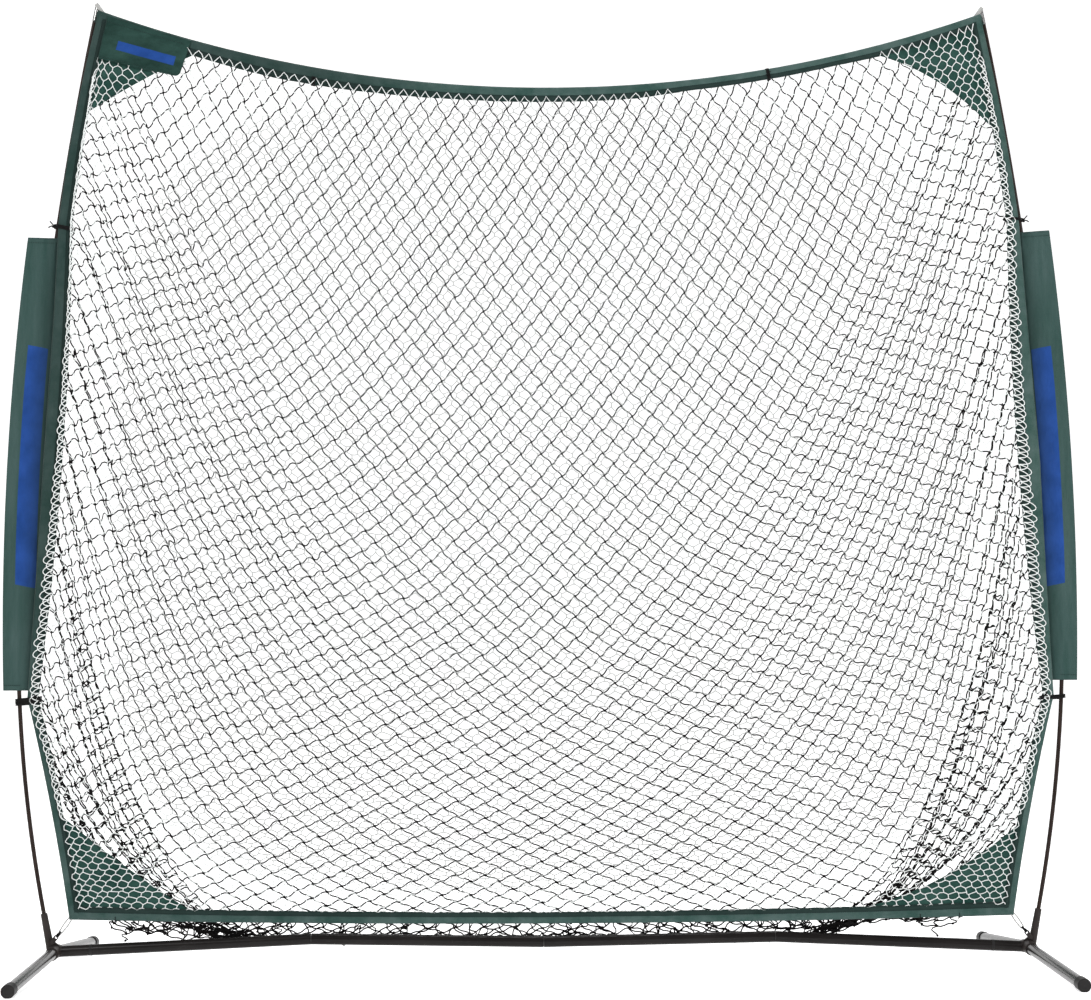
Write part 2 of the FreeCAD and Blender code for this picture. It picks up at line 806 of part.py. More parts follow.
def pocket_profile(across, down):
    """Point of the rear net: across runs -1 to 1, down runs 0 at the top to 1 at the bottom."""
    depth = pocket_depth * (1.0 - abs(across) ** 3)
    if down <= pocket_turn:
        share = down / pocket_turn
        top = rear_top(across)
        z = top + (pocket_turn_height - top) * share
        y = rear_net_front + depth * math.sin(share * math.pi / 2) ** 1.2
        return Vec(across * rear_half_width(z), y, z)
    share = (down - pocket_turn) / (1.0 - pocket_turn)
    turn = share * math.pi
    low_half = hem_bottom_corner[0] - hem_width
    sag = max(0.0, 1.0 - (abs(across) * low_half / pocket_half_width) ** 6)
    end = hem_bottom_dip + hem_width - rear_net_lap
    end = end + (hem_bottom_corner[1] - hem_bottom_dip) * across ** 2
    base = pocket_turn_height + (end - pocket_turn_height) * share
    z = base - (base - pocket_bottom) * math.sin(turn) * sag
    forward = (1.0 - math.cos(turn)) / 2
    y = rear_net_front + depth * (1.0 - forward) + rear_lap_offset * forward
    x = across * rear_half_width(max(z, hem_bottom_corner[1]))
    return Vec(x, y, z)


def rear_half_width(height):
    """Half width of the rear net at a height, a little behind the side hems."""
    points = [hem_bottom_corner, hem_hip, hem_waist, hem_top_corner]
    for low, high in zip(points, points[1:]):
        if height <= high[1]:
            break
    share = (height - low[1]) / (high[1] - low[1])
    edge = low[0] + (high[0] - low[0]) * share
    return edge - hem_width + rear_net_lap


def rear_top(across):
    """Height of the rear net's upper edge, behind the top hem."""
    corner_x, corner_z = hem_top_corner
    dip = corner_z - hem_top_dip
    radius = (corner_x ** 2 + dip ** 2) / (2 * dip)
    x = across * (corner_x - hem_width)
    return hem_top_dip + radius - math.sqrt(radius ** 2 - x ** 2) - hem_width + rear_net_lap


def rear_rows():
    """Half-row lines of the rear net as shares of the way down, closer in the sagging part."""
    rows = [pocket_turn * step / rear_straight_rows for step in range(rear_straight_rows)]
    for step in range(rear_turn_rows + 1):
        rows.append(pocket_turn + (1.0 - pocket_turn) * step / rear_turn_rows)
    return rows


def rear_gap(corners):
    """Prism through the rear net inside a ring of corner points, a strand's half width in."""
    centre = Vec(0, 0, 0)
    for corner in corners:
        centre = centre + corner * (1.0 / len(corners))
    normal = Vec(0, 0, 0)
    for corner, following in zip(corners, corners[1:] + corners[:1]):
        normal = normal + (corner - centre).cross(following - centre)
    normal.normalize()
    arms = []
    for corner in corners:
        arm = corner - centre
        arms.append(arm - normal * arm.dot(normal))
    reach = cell_size_limit
    for arm, following in zip(arms, arms[1:] + arms[:1]):
        side = (following - arm).normalize()
        reach = min(reach, (arm - side * arm.dot(side)).Length)
    shrink = (reach - rear_strand / 2) / reach
    base = centre - normal * (gap_cutter_depth / 2)
    points = [base + arm * shrink for arm in arms]
    points.append(points[0])
    return Part.Face(Part.makePolygon(points)).extrude(normal * gap_cutter_depth)


def make_rear_net(clearances):
    """Black rear net: a slack pocket that sags behind and below the frame, with its gaps."""
    surface = Part.BSplineSurface()
    surface.interpolate([[pocket_profile(across, down) for across in pocket_columns] for down in pocket_rows])
    shell = surface.toShape().makeOffsetShape(-rear_net_thickness, 0.01, fill=True)
    rows = rear_rows()
    edge = 1.0 - rear_rim_share
    gaps = []
    for row in range(len(rows)):
        for column in range(rear_columns * 2 + 1):
            if (row + column) % 2:
                continue
            across = column / rear_columns - 1.0
            level = min(max(rows[row], rear_top_rim), 1.0 - rear_bottom_rim)
            above = max(rows[max(row - 1, 0)], rear_top_rim)
            below = min(rows[min(row + 1, len(rows) - 1)], 1.0 - rear_bottom_rim)
            left = max(across - 1.0 / rear_columns, -edge)
            right = min(across + 1.0 / rear_columns, edge)
            middle = min(max(across, -edge), edge)
            ring = [(left, level), (middle, above), (right, level), (middle, below)]
            kept = [spot for spot in ring if ring.count(spot) == 1]
            inside = [spot for spot in kept if abs(spot[0] - middle) + abs(spot[1] - level) > 0]
            if len(inside) >= 3:
                gaps.append(rear_gap([pocket_profile(*spot) for spot in inside]))
    print("rear net gaps", len(gaps))
    net = shell.cut(gaps)
    for clearance in clearances:
        net = net.cut(clearance)
    return max(net.Solids, key=lambda solid: solid.Volume)


# Banners


def banner_edge_at(height):
    """X of a banner's outer edge at a height."""
    start, middle, end = [Vec(x, 0, z) for x, z in banner_edge]
    edge_arc = Part.Arc(start, middle, end).toShape()
    level = Part.makePlane(far, far, Vec(0, -far / 2, height), Vec(0, 0, 1))
    return edge_arc.section(level).Vertexes[0].X


def side_edge_at(height):
    """X of the right hem's outer edge at a height between the waist and the hip."""
    arc = Part.Arc(*bowed(hem_waist, hem_hip, hem_side_bow)).toShape()
    level = Part.makePlane(far, far, Vec(0, -far / 2, height), Vec(0, 0, 1))
    return arc.section(level).Vertexes[0].X


def wrapped(circles, height):
    """Closed outline wrapped round circles at a height, each an X, a Y and a radius, in turn."""
    count = len(circles)
    normals = []
    for index, (x, y, radius) in enumerate(circles):
        next_x, next_y, next_radius = circles[(index + 1) % count]
        heading = math.atan2(next_y - y, next_x - x)
        spread = math.acos((radius - next_radius) / math.hypot(next_x - x, next_y - y))
        normals.append(heading - spread)
    edges = []
    for index, (x, y, radius) in enumerate(circles):
        first = normals[index - 1]
        last = normals[index]
        if last < first:
            last += 2 * math.pi
        marks = []
        for angle in (first, (first + last) / 2, last):
            marks.append(Vec(x + radius * math.cos(angle), y + radius * math.sin(angle), height))
        edges.append(Part.Arc(*marks).toShape())
        next_x, next_y, next_radius = circles[(index + 1) % count]
        ahead = Vec(next_x + next_radius * math.cos(last), next_y + next_radius * math.sin(last), height)
        edges.append(Part.makeLine(marks[2], ahead))
    return Part.Wire(edges)


def banner_section(height, wall):
    """Outline of a banner at one height, drawn in by a wall thickness."""
    around_pole = pole_radius + banner_pole_gap + banner_wall
    small = banner_edge_radius - wall
    inner_x = side_edge_at(height) - banner_hem_lap + banner_edge_radius
    inner_y = hem_back + banner_hem_gap + banner_edge_radius
    pole = (pole_at(height), 0.0, around_pole - wall)
    outer_tip = (banner_edge_at(height) - banner_edge_radius, 0.0, small)
    return wrapped([(inner_x, inner_y, small), pole, outer_tip, pole], height)


def make_banner(side):
    """Flat fabric sleeve round a pole, its inner edge behind the hem, open at its ends."""
    outer = []
    inner = []
    for step in range(banner_steps + 1):
        height = banner_bottom + (banner_top - banner_bottom) * step / banner_steps
        outer.append(banner_section(height, 0.0))
        inner.append(banner_section(height, banner_wall))
    body = Part.makeLoft(outer, True, False).cut(Part.makeLoft(inner, True, False))
    return flip_shape(side, body)


# Label flap, straps and ties


def flap_axes():
    """Unit vectors along the flap's top edge and down its face."""
    slope = math.radians(flap_slope)
    along = Vec(math.cos(slope), 0, -math.sin(slope))
    down = Vec(-math.sin(slope), 0, -math.cos(slope))
    return along, down


def make_flap():
    """Label flap in front of the top hem, a little taller at its left end, one lower corner rounded."""
    along, down = flap_axes()
    back = hem_front - flap_gap
    left = Vec(flap_corner[0], back - flap_thickness, flap_corner[1])
    right = left + along * flap_length
    low_right = right + (down + along * flap_right_lean) * flap_right_height
    low_left = left + (down + along * flap_left_lean) * flap_left_height
    face = Part.Face(Part.makePolygon([left, right, low_right, low_left, left]))
    body = face.extrude(Vec(0, flap_thickness, 0))
    corner_edges = []
    for edge in body.Edges:
        offset = edge.CenterOfMass - low_right
        if math.hypot(offset.x, offset.z) < 1.0:
            corner_edges.append(edge)
    return body.makeFillet(flap_round, corner_edges)


def stadium_ring(first, second, bend, radius, across):
    """Closed ring of round cord whose ends bend round two points; across is the ring's width axis."""
    along = (second - first).normalize()
    width = across * bend
    normal = along.cross(across)
    pieces = []
    for sign in (-1, 1):
        pieces.append(rod(first + width * sign, second + width * sign, radius))
    for centre, way in ((first, along * -1), (second, along)):
        start = centre + width
        disc = Part.Face(Part.Wire(Part.makeCircle(radius, start, along)))
        turn = 180.0
        if normal.cross(across).dot(way) < 0:
            turn = -180.0
        pieces.append(disc.revolve(centre, normal, turn))
    body = pieces[0]
    for piece in pieces[1:]:
        body = body.fuse(piece)
    return body.removeSplitter()


def make_corner_cord(side):
    """Knotted cord that ties the corner strap to the hub lug."""
    bend = lug_thickness / 2 + cord_diameter / 2 + tie_gap
    along = tie_direction()
    slack = lug_hole / 2 - cord_diameter / 2 - eye_gap
    first = lug_eye() + along * (bend - slack)
    second = strap_eye() - along * (bend - slack)
    body = stadium_ring(first, second, bend, cord_diameter / 2, Vec(0, 1, 0))
    knot_centre = (first + second) * 0.5 - Vec(0, bend + knot_radius - cord_diameter / 2, 0)
    knot = rod(knot_centre - along * knot_half, knot_centre + along * knot_half, knot_radius)
    body = body.fuse(knot.makeFillet(knot_round, [edge for edge in knot.Edges if edge.Closed]))
    return flip_shape(side, body)


def make_corner_strap(side, hems):
    """Webbing from the bottom corner of the hem, with a hole for the cord."""
    eye = strap_eye()
    corner = Vec(hem_bottom_corner[0], eye.y, hem_bottom_corner[1])
    inside = corner + tie_direction() * strap_tail
    body = lying_bar(eye, inside, strap_width, strap_thickness)
    reach = Vec(0, strap_thickness, 0)
    body = body.cut(rod(eye - reach, eye + reach, lug_hole / 2))
    body = body.cut(hems["right_hem"]).cut(hems["bottom_hem"])
    biggest = max(body.Solids, key=lambda solid: solid.Volume)
    return flip_shape(side, biggest)


def make_top_loop(side):
    """Webbing loop from the top corner of the hem over the pole's tip."""
    point, tangent = pole_end(len(pole_joint_heights) - 1)
    lean = math.radians(loop_lean)
    out = Vec(math.sin(lean), 0, math.cos(lean))
    across = Vec(out.z, 0, -out.x)
    inner = tip_diameter / 2 + loop_gap
    outer = inner + loop_wall
    head = point + tangent * (tip_end - loop_below_end)
    tail = head - out * loop_length
    half = across * (loop_width / 2)
    body = None
    for radius in (outer, inner):
        depth = Vec(0, radius, 0)
        corners = [head + depth, tail + depth, tail - depth, head - depth]
        corners = [corner - half for corner in corners]
        corners.append(corners[0])
        block = Part.Face(Part.makePolygon(corners)).extrude(half * 2)
        for centre in (head, tail):
            block = block.fuse(Part.makeCylinder(radius, loop_width, centre - half, across))
        body = block if body is None else body.cut(block)
    return flip_shape(side, body)


def band(low_x, high_x, low_y, high_y, height, width):
    """Flat band round a box of X and Y sizes, at a height."""
    def block(grow, tall):
        base = Vec(low_x - grow, low_y - grow, height - tall / 2)
        return Part.makeBox(high_x - low_x + 2 * grow, high_y - low_y + 2 * grow, tall, base)
    outer = block(tie_band, width)
    upright = [edge for edge in outer.Edges if abs(edge.tangentAt(edge.FirstParameter).z) > 0.9]
    outer = outer.makeFillet(tie_band, upright)
    return outer.cut(block(0.0, width + 2))


def hem_edge_at(height):
    """X of the right hem's outer edge at a height, on straight lines between its tied points."""
    return rear_half_width(height) + hem_width - rear_net_lap


def make_pole_ties():
    """Ties that hold the side hems to the poles, two a side."""
    ties = []
    for height in (hem_waist[1], hem_hip[1] - hip_tie_drop):
        low_x = hem_edge_at(height) - hem_width - pole_tie_lap
        high_x = pole_at(height) + pole_radius + tie_gap
        tie = band(low_x, high_x, hem_front - tie_gap, pole_radius + tie_gap, height, pole_tie_height)
        for side in (-1, 1):
            ties.append(flip_shape(side, tie))
    return ties


def make_net_ties():
    """Small ties round the top and bottom hems that hold the rear net."""
    ties = []
    back = rear_net_front + rear_net_thickness + net_tie_room
    corner_x, corner_z = hem_top_corner
    dip = corner_z - hem_top_dip
    top_radius = (corner_x ** 2 + dip ** 2) / (2 * dip)
    for x in top_net_ties:
        z = hem_top_dip + top_radius - math.sqrt(top_radius ** 2 - x ** 2) - hem_width / 2
        slope = math.degrees(math.asin(x / top_radius))
        ties.append(hem_tie(x, z, slope, back))
    rise = hem_bottom_corner[1] - hem_bottom_dip
    for x in bottom_net_ties:
        z = hem_bottom_dip + rise * (x / hem_bottom_corner[0]) ** 2 + hem_width / 2
        slope = math.degrees(math.atan(2 * rise * x / hem_bottom_corner[0] ** 2))
        ties.append(hem_tie(x, z, slope, back))
    return ties


def hem_tie(x, z, slope, back):
    """Band round the hem's section, turned to the hem's slope."""
    half = hem_width / 2 + tie_gap
    flat = band(-half, half, hem_front - tie_gap, back, 0.0, net_tie_width)
    flat.rotate(Vec(0, 0, 0), Vec(0, 1, 0), 90.0 - slope)
    flat.translate(Vec(x, 0, z))
    return flat


def tie_clearance(tie):
    """Space that the nets leave round a tie."""
    box = tie.BoundBox
    grow = tie_clearance_gap
    size = Vec(box.XLength + 2 * grow, box.YLength + 2 * grow, box.ZLength + 2 * grow)
    return Part.makeBox(size.x, size.y, size.z, Vec(box.XMin - grow, box.YMin - grow, box.ZMin - grow))


def main():
    os.makedirs("parts", exist_ok=True)
    names = {-1: "left", 1: "right"}
    hems = make_hems()
    pole_ties = make_pole_ties()
    net_ties = make_net_ties()
    clearances = [tie_clearance(tie) for tie in pole_ties + net_ties]

    for side, word in names.items():
        save(make_hub(side), word + "_hub")
        for reach, place in ((-1, "front"), (1, "rear")):
            save(make_leg(side, reach), place + "_" + word + "_leg")
            save(make_cap(side, reach), place + "_" + word + "_cap")
        save(make_stub(side), word + "_stub_tube")
        save(make_stub_coupler(side), word + "_stub_coupler")
        save(make_joint_ring(side), word + "_joint_ring")
        save(make_button(side), word + "_snap_button")
        save(make_outer_bar(side), word + "_outer_bar")
        save(make_inner_bar(side), word + "_inner_bar")
        save(make_knee_coupler(side), word + "_knee_coupler")
        for index in range(len(pole_joint_heights)):
            save(make_pole_section(side, index), "%s_pole_%d" % (word, index + 1))
        save(make_ferrules(side), word + "_pole_ferrules")
        save(make_shock_cord(side), word + "_shock_cord")
        save(make_tip(side), word + "_pole_tip")
        save(make_banner(side), word + "_banner")
        save(make_top_loop(side), word + "_top_loop")
        save(make_corner_strap(side, hems), word + "_corner_strap")
        save(make_corner_cord(side), word + "_corner_cord")
    save(make_middle_coupler(), "middle_coupler")
    for name, outline in corner_patches.items():
        save(make_patch(*outline, clearances), name)
    for name, hem in hems.items():
        save(hem, name)
    save(make_front_net(clearances), "front_net")
    save(make_rear_net(clearances), "rear_net")
    save(make_flap(), "label_flap")
    save(Part.makeCompound(pole_ties), "pole_ties")
    save(Part.makeCompound(net_ties), "net_ties")


main()
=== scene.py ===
import json
import math
import bmesh
import bpy
import numpy as np
from mathutils import Matrix, Vector


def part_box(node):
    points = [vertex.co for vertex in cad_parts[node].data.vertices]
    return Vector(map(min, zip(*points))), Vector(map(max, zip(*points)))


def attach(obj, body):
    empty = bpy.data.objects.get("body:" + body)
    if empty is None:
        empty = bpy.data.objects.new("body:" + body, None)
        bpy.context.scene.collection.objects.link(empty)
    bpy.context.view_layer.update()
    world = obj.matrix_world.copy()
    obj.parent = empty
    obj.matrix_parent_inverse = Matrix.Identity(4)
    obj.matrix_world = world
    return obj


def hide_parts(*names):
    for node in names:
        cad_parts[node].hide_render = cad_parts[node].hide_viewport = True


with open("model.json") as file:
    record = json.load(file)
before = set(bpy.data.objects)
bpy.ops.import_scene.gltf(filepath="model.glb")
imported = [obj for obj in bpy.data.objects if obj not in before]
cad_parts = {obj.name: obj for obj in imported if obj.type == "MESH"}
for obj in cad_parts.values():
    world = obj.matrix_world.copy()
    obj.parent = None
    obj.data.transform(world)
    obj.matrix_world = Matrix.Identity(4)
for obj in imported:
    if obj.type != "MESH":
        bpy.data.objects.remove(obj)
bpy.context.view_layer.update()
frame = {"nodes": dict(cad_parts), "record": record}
nodes = frame["nodes"]
print("stage: frame loaded")

# camera
view = {
    "place": (-0.1087, -5.0757, 0.5894),
    "yaw": 1.304,      # degrees towards +X
    "pitch": 5.367,    # degrees up
    "roll": -0.168,
    "lens": 72.69,
    "sensor": 36.0,
}


def makeCamera():
    yaw, pitch, roll = (math.radians(view[key]) for key in ("yaw", "pitch", "roll"))
    level = Vector((math.cos(yaw), -math.sin(yaw), 0.0))
    ahead = Vector((math.sin(yaw), math.cos(yaw), 0.0))
    aim = ahead * math.cos(pitch) + Vector((0, 0, math.sin(pitch)))
    top = Vector((0, 0, math.cos(pitch))) - ahead * math.sin(pitch)
    right = level * math.cos(roll) + top * math.sin(roll)
    up = top * math.cos(roll) - level * math.sin(roll)
    turn = Matrix((right, up, -aim)).transposed().to_4x4()
    camera = bpy.data.objects.new("camera", bpy.data.cameras.new("camera"))
    camera.data.lens = view["lens"]
    camera.data.sensor_width = view["sensor"]
    camera.data.sensor_fit = "HORIZONTAL"
    camera.data.clip_end = 100
    camera.matrix_world = Matrix.Translation(view["place"]) @ turn
    bpy.context.scene.collection.objects.link(camera)
    bpy.context.scene.camera = camera


makeCamera()
print("stage: camera")

# materials


class Finish:
    # a material and the few node steps that the finishes below share
    def __init__(self, name, colour, rough, **extra):
        self.material = bpy.data.materials.new(name)
        self.material.use_nodes = True
        self.tree = self.material.node_tree
        self.shader = self.tree.nodes["Principled BSDF"]
        self.put(self.shader, {"Base Color": (*colour, 1), "Roughness": rough})
        self.put(self.shader, {key.replace("_", " "): value for key, value in extra.items()})
        self.place = None
        self.height = None

    def put(self, node, values):
        # a socket is linked to the named input, anything else becomes its value
        for key, value in values.items():
            if isinstance(value, bpy.types.NodeSocket):
                self.tree.links.new(value, node.inputs[key])
            else:
                node.inputs[key].default_value = value
        return node

    def node(self, kind, values, **settings):
        made = self.tree.nodes.new("ShaderNode" + kind)
        for key, value in settings.items():
            setattr(made, key, value)
        return self.put(made, values)

    def where(self, kind="Object"):
        if self.place is None:
            self.place = self.node("TexCoord", {})
        return self.place.outputs[kind]

    def stretched(self, scale, turn=(0, 0, 0)):
        values = {"Scale": scale, "Rotation": turn, "Vector": self.where()}
        return self.node("Mapping", values).outputs["Vector"]

    def noise(self, scale, detail=3.0, rough=0.5, vector=None):
        values = {"Scale": scale, "Detail": detail, "Roughness": rough, "Vector": vector or self.where()}
        return self.node("TexNoise", values).outputs["Fac"]

    def wave(self, scale, direction, distort=0.0):
        values = {"Scale": scale, "Distortion": distort, "Detail": 1.0, "Vector": self.where()}
        made = self.node("TexWave", values, wave_type="BANDS", bands_direction=direction, wave_profile="SIN")
        return made.outputs["Fac"]

    def sums(self, operation, *values):
        return self.node("Math", dict(enumerate(values)), operation=operation).outputs[0]

    def split(self, vector=None):
        return self.node("SeparateXYZ", {0: vector or self.where()}).outputs

    def ramp(self, value, first, last, low, high):
        values = {"Value": value, "From Min": first, "From Max": last, "To Min": low, "To Max": high}
        return self.node("MapRange", values, interpolation_type="SMOOTHSTEP").outputs["Result"]

    def between(self, factor, low, high):
        made = self.node("ValToRGB", {"Fac": factor})
        for stop, place, tone in zip(made.color_ramp.elements, (0.3, 0.7), (low, high)):
            stop.color = (*tone, 1)
            stop.position = place
        return made.outputs["Color"]

    def mix(self, factor, first, second):
        first, second = ((*value, 1) if isinstance(value, tuple) else value for value in (first, second))
        return self.node("Mix", {0: factor, 6: first, 7: second}, data_type="RGBA").outputs[2]

    def colour(self, source):
        self.put(self.shader, {"Base Color": source})

    def tint(self, factor, tone):
        # a tone laid over the colour so far
        self.colour(self.mix(factor, self.shader.inputs["Base Color"].links[0].from_socket, tone))

    def roughness(self, factor, low, high):
        span = self.node("MapRange", {"Value": factor, "To Min": low, "To Max": high})
        self.put(self.shader, {"Roughness": span.outputs["Result"]})

    def bump(self, factor, depth):
        # each bump is laid over the one before
        made = self.node("Bump", {"Distance": depth, "Strength": 1.0, "Height": factor})
        if self.height is not None:
            self.put(made, {"Normal": self.height})
        self.height = made.outputs["Normal"]
        self.put(self.shader, {"Normal": self.height})


# rough and base: the shader's own; tone, shine and grain: noises as scale, detail and roughness, where
# the one for the tone serves for all three if it is alone; span: the roughness; depth: the bump's
looks = {
    "paint": {"rough": 0.22, "tone": (9.0, 4.0), "shine": (60.0, 5.0, 0.6), "grain": (420.0, 2.0),
              "span": (0.17, 0.32), "depth": 0.00006},
    "hub": {"rough": 0.5, "tone": (35.0, 4.0), "shine": (240.0, 3.0), "grain": (600.0, 2.0),
            "span": (0.38, 0.58), "depth": 0.00012},
    "cap": {"rough": 0.5, "tone": (35.0, 4.0), "shine": (320.0, 3.0), "grain": (800.0, 2.0),
            "span": (0.38, 0.58), "depth": 0.00012},
    "steel": {"base": (0.10, 0.10, 0.10), "rough": 0.4, "tone": (60.0, 4.0, 0.6),
              "stretch": (1, 14, 14), "span": (0.25, 0.45), "depth": 0},
    "fibreglass": {"base": (0.025, 0.017, 0.014), "rough": 0.4, "tone": (260.0, 4.0, 0.6),
                   "stretch": (1, 1, 0.02), "span": (0.28, 0.46), "depth": 0.00008},
    "tip": {"base": (0.45, 0.45, 0.45), "rough": 0.25, "tone": (900.0, 3.0, 0.6),
            "stretch": (0.05, 0.05, 1), "span": (0.18, 0.36), "depth": 0},
}


def makePlain(name, kind, low, high, **extra):
    look = looks[kind]
    made = Finish(name, look.get("base", low), look["rough"], **extra)
    along = made.stretched(look["stretch"]) if "stretch" in look else None
    noises = [made.noise(*look[use], vector=along) for use in ("tone", "shine", "grain") if use in look]
    tone, shine, grain = noises if len(noises) == 3 else noises * 3
    made.colour(made.between(tone, low, high))
    made.roughness(shine, *look["span"])
    if look["depth"]:
        made.bump(grain, look["depth"])
    return made.material


# each green cloth runs from low, its colour darkened as painted shade, to high, its colour lightened and
# greyed as painted sheen; blue is the print's own tone; shade is a painted shade tone
clothTones = {
    "hem": ((0.016, 0.054, 0.044), (0.066, 0.108, 0.100)),
    "banner": ((0.018, 0.052, 0.044), (0.048, 0.086, 0.081)),
    "flap": ((0.003, 0.020, 0.015), (0.020, 0.056, 0.046)),
    "patch": ((0.005, 0.034, 0.026), (0.028, 0.076, 0.063)),
    "blue": ((0.006, 0.044, 0.21), (0.014, 0.066, 0.30)),
    "shade": (0.006, 0.016, 0.014),
}


# cloud: the clouds of painted shade and sheen; threads: how much they show, and how much brighter than the
# cloth they are
cloth = {
    "rough": 0.62, "sheenRough": 0.4, "specular": 0.12, "cloud": (16.0, 6.0, 0.65), "contrast": (1.3, -0.15),
    "pitch": 0.0011, "weave": 0.00022, "threads": (0.35, 1.9), "span": (0.5, 0.72),
    "ripples": (30.0, 3.0), "rippleDepth": 0.0035,
}


def makeGreenCloth(name, kind, sheen, creases=(1, 1, 1)):
    low, high = clothTones[kind]
    made = Finish(name, low, cloth["rough"], Sheen_Weight=sheen, Sheen_Roughness=cloth["sheenRough"],
                  Specular_IOR_Level=cloth["specular"])
    # painted shade and sheen: clouds at random between the low tone, darker and more saturated, and the high
    # tone, lighter and greyer; the same clouds also vary the roughness
    cloud = made.noise(*cloth["cloud"], made.stretched(creases))
    tone = made.between(made.sums("MULTIPLY_ADD", cloud, *cloth["contrast"]), low, high)
    # plain weave: two crossed rib patterns along the cloth's own directions
    ribs = (made.wave(0.5 / cloth["pitch"], direction) for direction in "XZ")
    threads = made.sums("MULTIPLY", *ribs)
    made.bump(threads, cloth["weave"])
    share, brighter = cloth["threads"]
    made.colour(made.mix(made.sums("MULTIPLY", threads, share), tone, tuple(v * brighter for v in high)))
    made.roughness(cloud, *cloth["span"])
    made.bump(made.noise(*cloth["ripples"]), cloth["rippleDepth"])
    return made


hemSeam = 0.58    # place of the seam, as a share of a hem's width


# ramps of the shade across the left half and up the hem: from, to, first and last share
hemShade = {"across": (-0.55, -0.10, 0.55, 0.0), "up": (0.12, 0.90, 0.25, 1.0), "strip": 0.78}


def makeHemCloth():
    # the map's U runs across the hem, 0 at the outer edge; the flat strip inside the seam lies in shade,
    # and so does the left half, more of it higher up
    made = makeGreenCloth("hemCloth", "hem", 0.12)
    place = made.split()
    strip = made.sums("GREATER_THAN", made.split(made.where("UV"))["X"], hemSeam)
    turned = made.ramp(place["X"], *hemShade["across"])
    raised = made.ramp(place["Z"], *hemShade["up"])
    made.tint(made.sums("MULTIPLY", turned, raised), clothTones["shade"])
    made.tint(made.sums("MULTIPLY", strip, hemShade["strip"]), clothTones["shade"])
    return made.material


def insideBand(made, value, low, high):
    above = made.sums("GREATER_THAN", value, low)
    below = made.sums("LESS_THAN", value, high)
    return made.sums("MULTIPLY", above, below)


# creases: stretch of the cloth's clouds, which draws their painted shade and sheen out into crease-like
# streaks; shade: ramp between the pole and the hem, by the distance in
bannerPrint = {
    "outer": 0.029, "inner": 0.076, "low": 0.868, "high": 1.423, "slant": -0.2,
    "cloud": (22.0, 3.0), "creases": (1.4, 1, 0.16), "shade": (0.030, 0.088, 0.0, 0.62),
    "folds": (7.0, 4.0, 0.55), "foldStretch": (1.6, 1, 0.55), "foldTurn": (0, 0.5, 0), "foldDepth": 0.020,
}
# creases: stretch of the flap cloth's clouds of painted shade and sheen
flapPrint = {
    "middle": (-0.927, 2.117), "turn": 15.5, "length": 0.140, "height": 0.022,
    "cloud": (30.0, 3.0), "creases": (0.8, 1, 1.6),
}
inkCover = 0.94


def blueBlock(made, columns, rows, cloud):
    covered = made.sums("MULTIPLY", made.sums("MULTIPLY", columns, rows), inkCover)
    made.tint(covered, made.between(made.noise(*cloud), *clothTones["blue"]))


def makeBannerCloth():
    # green cloth with one plain blue block; the map's U runs in from the outer edge, V is the height
    made = makeGreenCloth("bannerCloth", "banner", 0.07, bannerPrint["creases"])
    place = made.split(made.where("UV"))
    slant = bannerPrint["slant"]
    offset = slant * (bannerPrint["inner"] + bannerPrint["outer"]) / 2
    lifted = made.sums("MULTIPLY_ADD", place["X"], -slant, place["Y"])
    columns = insideBand(made, place["X"], bannerPrint["outer"], bannerPrint["inner"])
    rows = insideBand(made, lifted, bannerPrint["low"] - offset, bannerPrint["high"] - offset)
    blueBlock(made, columns, rows, bannerPrint["cloud"])
    made.tint(made.ramp(place["X"], *bannerPrint["shade"]), clothTones["shade"])
    along = made.stretched(bannerPrint["foldStretch"], bannerPrint["foldTurn"])
    made.bump(made.noise(*bannerPrint["folds"], along), bannerPrint["foldDepth"])
    return made.material


def makeFlapCloth():
    made = makeGreenCloth("flapCloth", "flap", 0.07, flapPrint["creases"])
    x, z = flapPrint["middle"]
    values = {"Location": (x, 0, z), "Rotation": (0, math.radians(flapPrint["turn"]), 0)}
    turned = made.node("Mapping", {"Vector": made.where(), **values}, vector_type="TEXTURE")
    place = made.split(turned.outputs["Vector"])
    columns = insideBand(made, place["X"], -flapPrint["length"] / 2, flapPrint["length"] / 2)
    rows = insideBand(made, place["Z"], -flapPrint["height"] / 2, flapPrint["height"] / 2)
    blueBlock(made, columns, rows, flapPrint["cloud"])
    return made.material


strands = {
    "twine": {"fuzz": (700.0, 3.0, 0.6), "distort": 0.6, "shader": {"Specular_IOR_Level": 0.12}},
    "webbing": {"fuzz": (200.0, 2.0), "distort": 0.0, "shader": {"Sheen_Weight": 0.2}},
    "depth": 0.0003,
}


def makeStrands(name, kind, low, high, pitch, rough):
    # laid strands or ribs: bands that run round on a slant
    look = strands[kind]
    made = Finish(name, low, rough, **look["shader"])
    laid = made.wave(1.0 / (pitch * 2.0), "DIAGONAL", look["distort"])
    made.colour(made.between(made.sums("MULTIPLY", laid, made.noise(*look["fuzz"])), low, high))
    made.bump(laid, strands["depth"])
    return made


# painted shade laid on the white twine: how far from the middle it fades, and how dark it gets
twineShade = {
    "halfHeight": 0.93, "middle": 1.09, "from": 0.80, "to": 1.06, "much": 0.50,
    "tone": (0.10, 0.095, 0.09),
}


def makeWhiteTwine():
    # painted shade: bright along the hems and greyed in the open middle, away from them
    made = makeStrands("whiteTwine", "twine", (0.76, 0.79, 0.78), (0.96, 0.99, 0.98), 0.0024, 0.65)
    place, half = made.split(), twineShade["halfHeight"]
    height = made.sums("MULTIPLY_ADD", place["Z"], 1 / half, -twineShade["middle"] / half)
    reach = [made.sums("POWER", made.sums("ABSOLUTE", value, 0.0), 4.0) for value in (place["X"], height)]
    first, last, much = (twineShade[key] for key in ("from", "to", "much"))
    made.tint(made.ramp(made.sums("ADD", *reach), first, last, much, 0.0), twineShade["tone"])
    return made.material


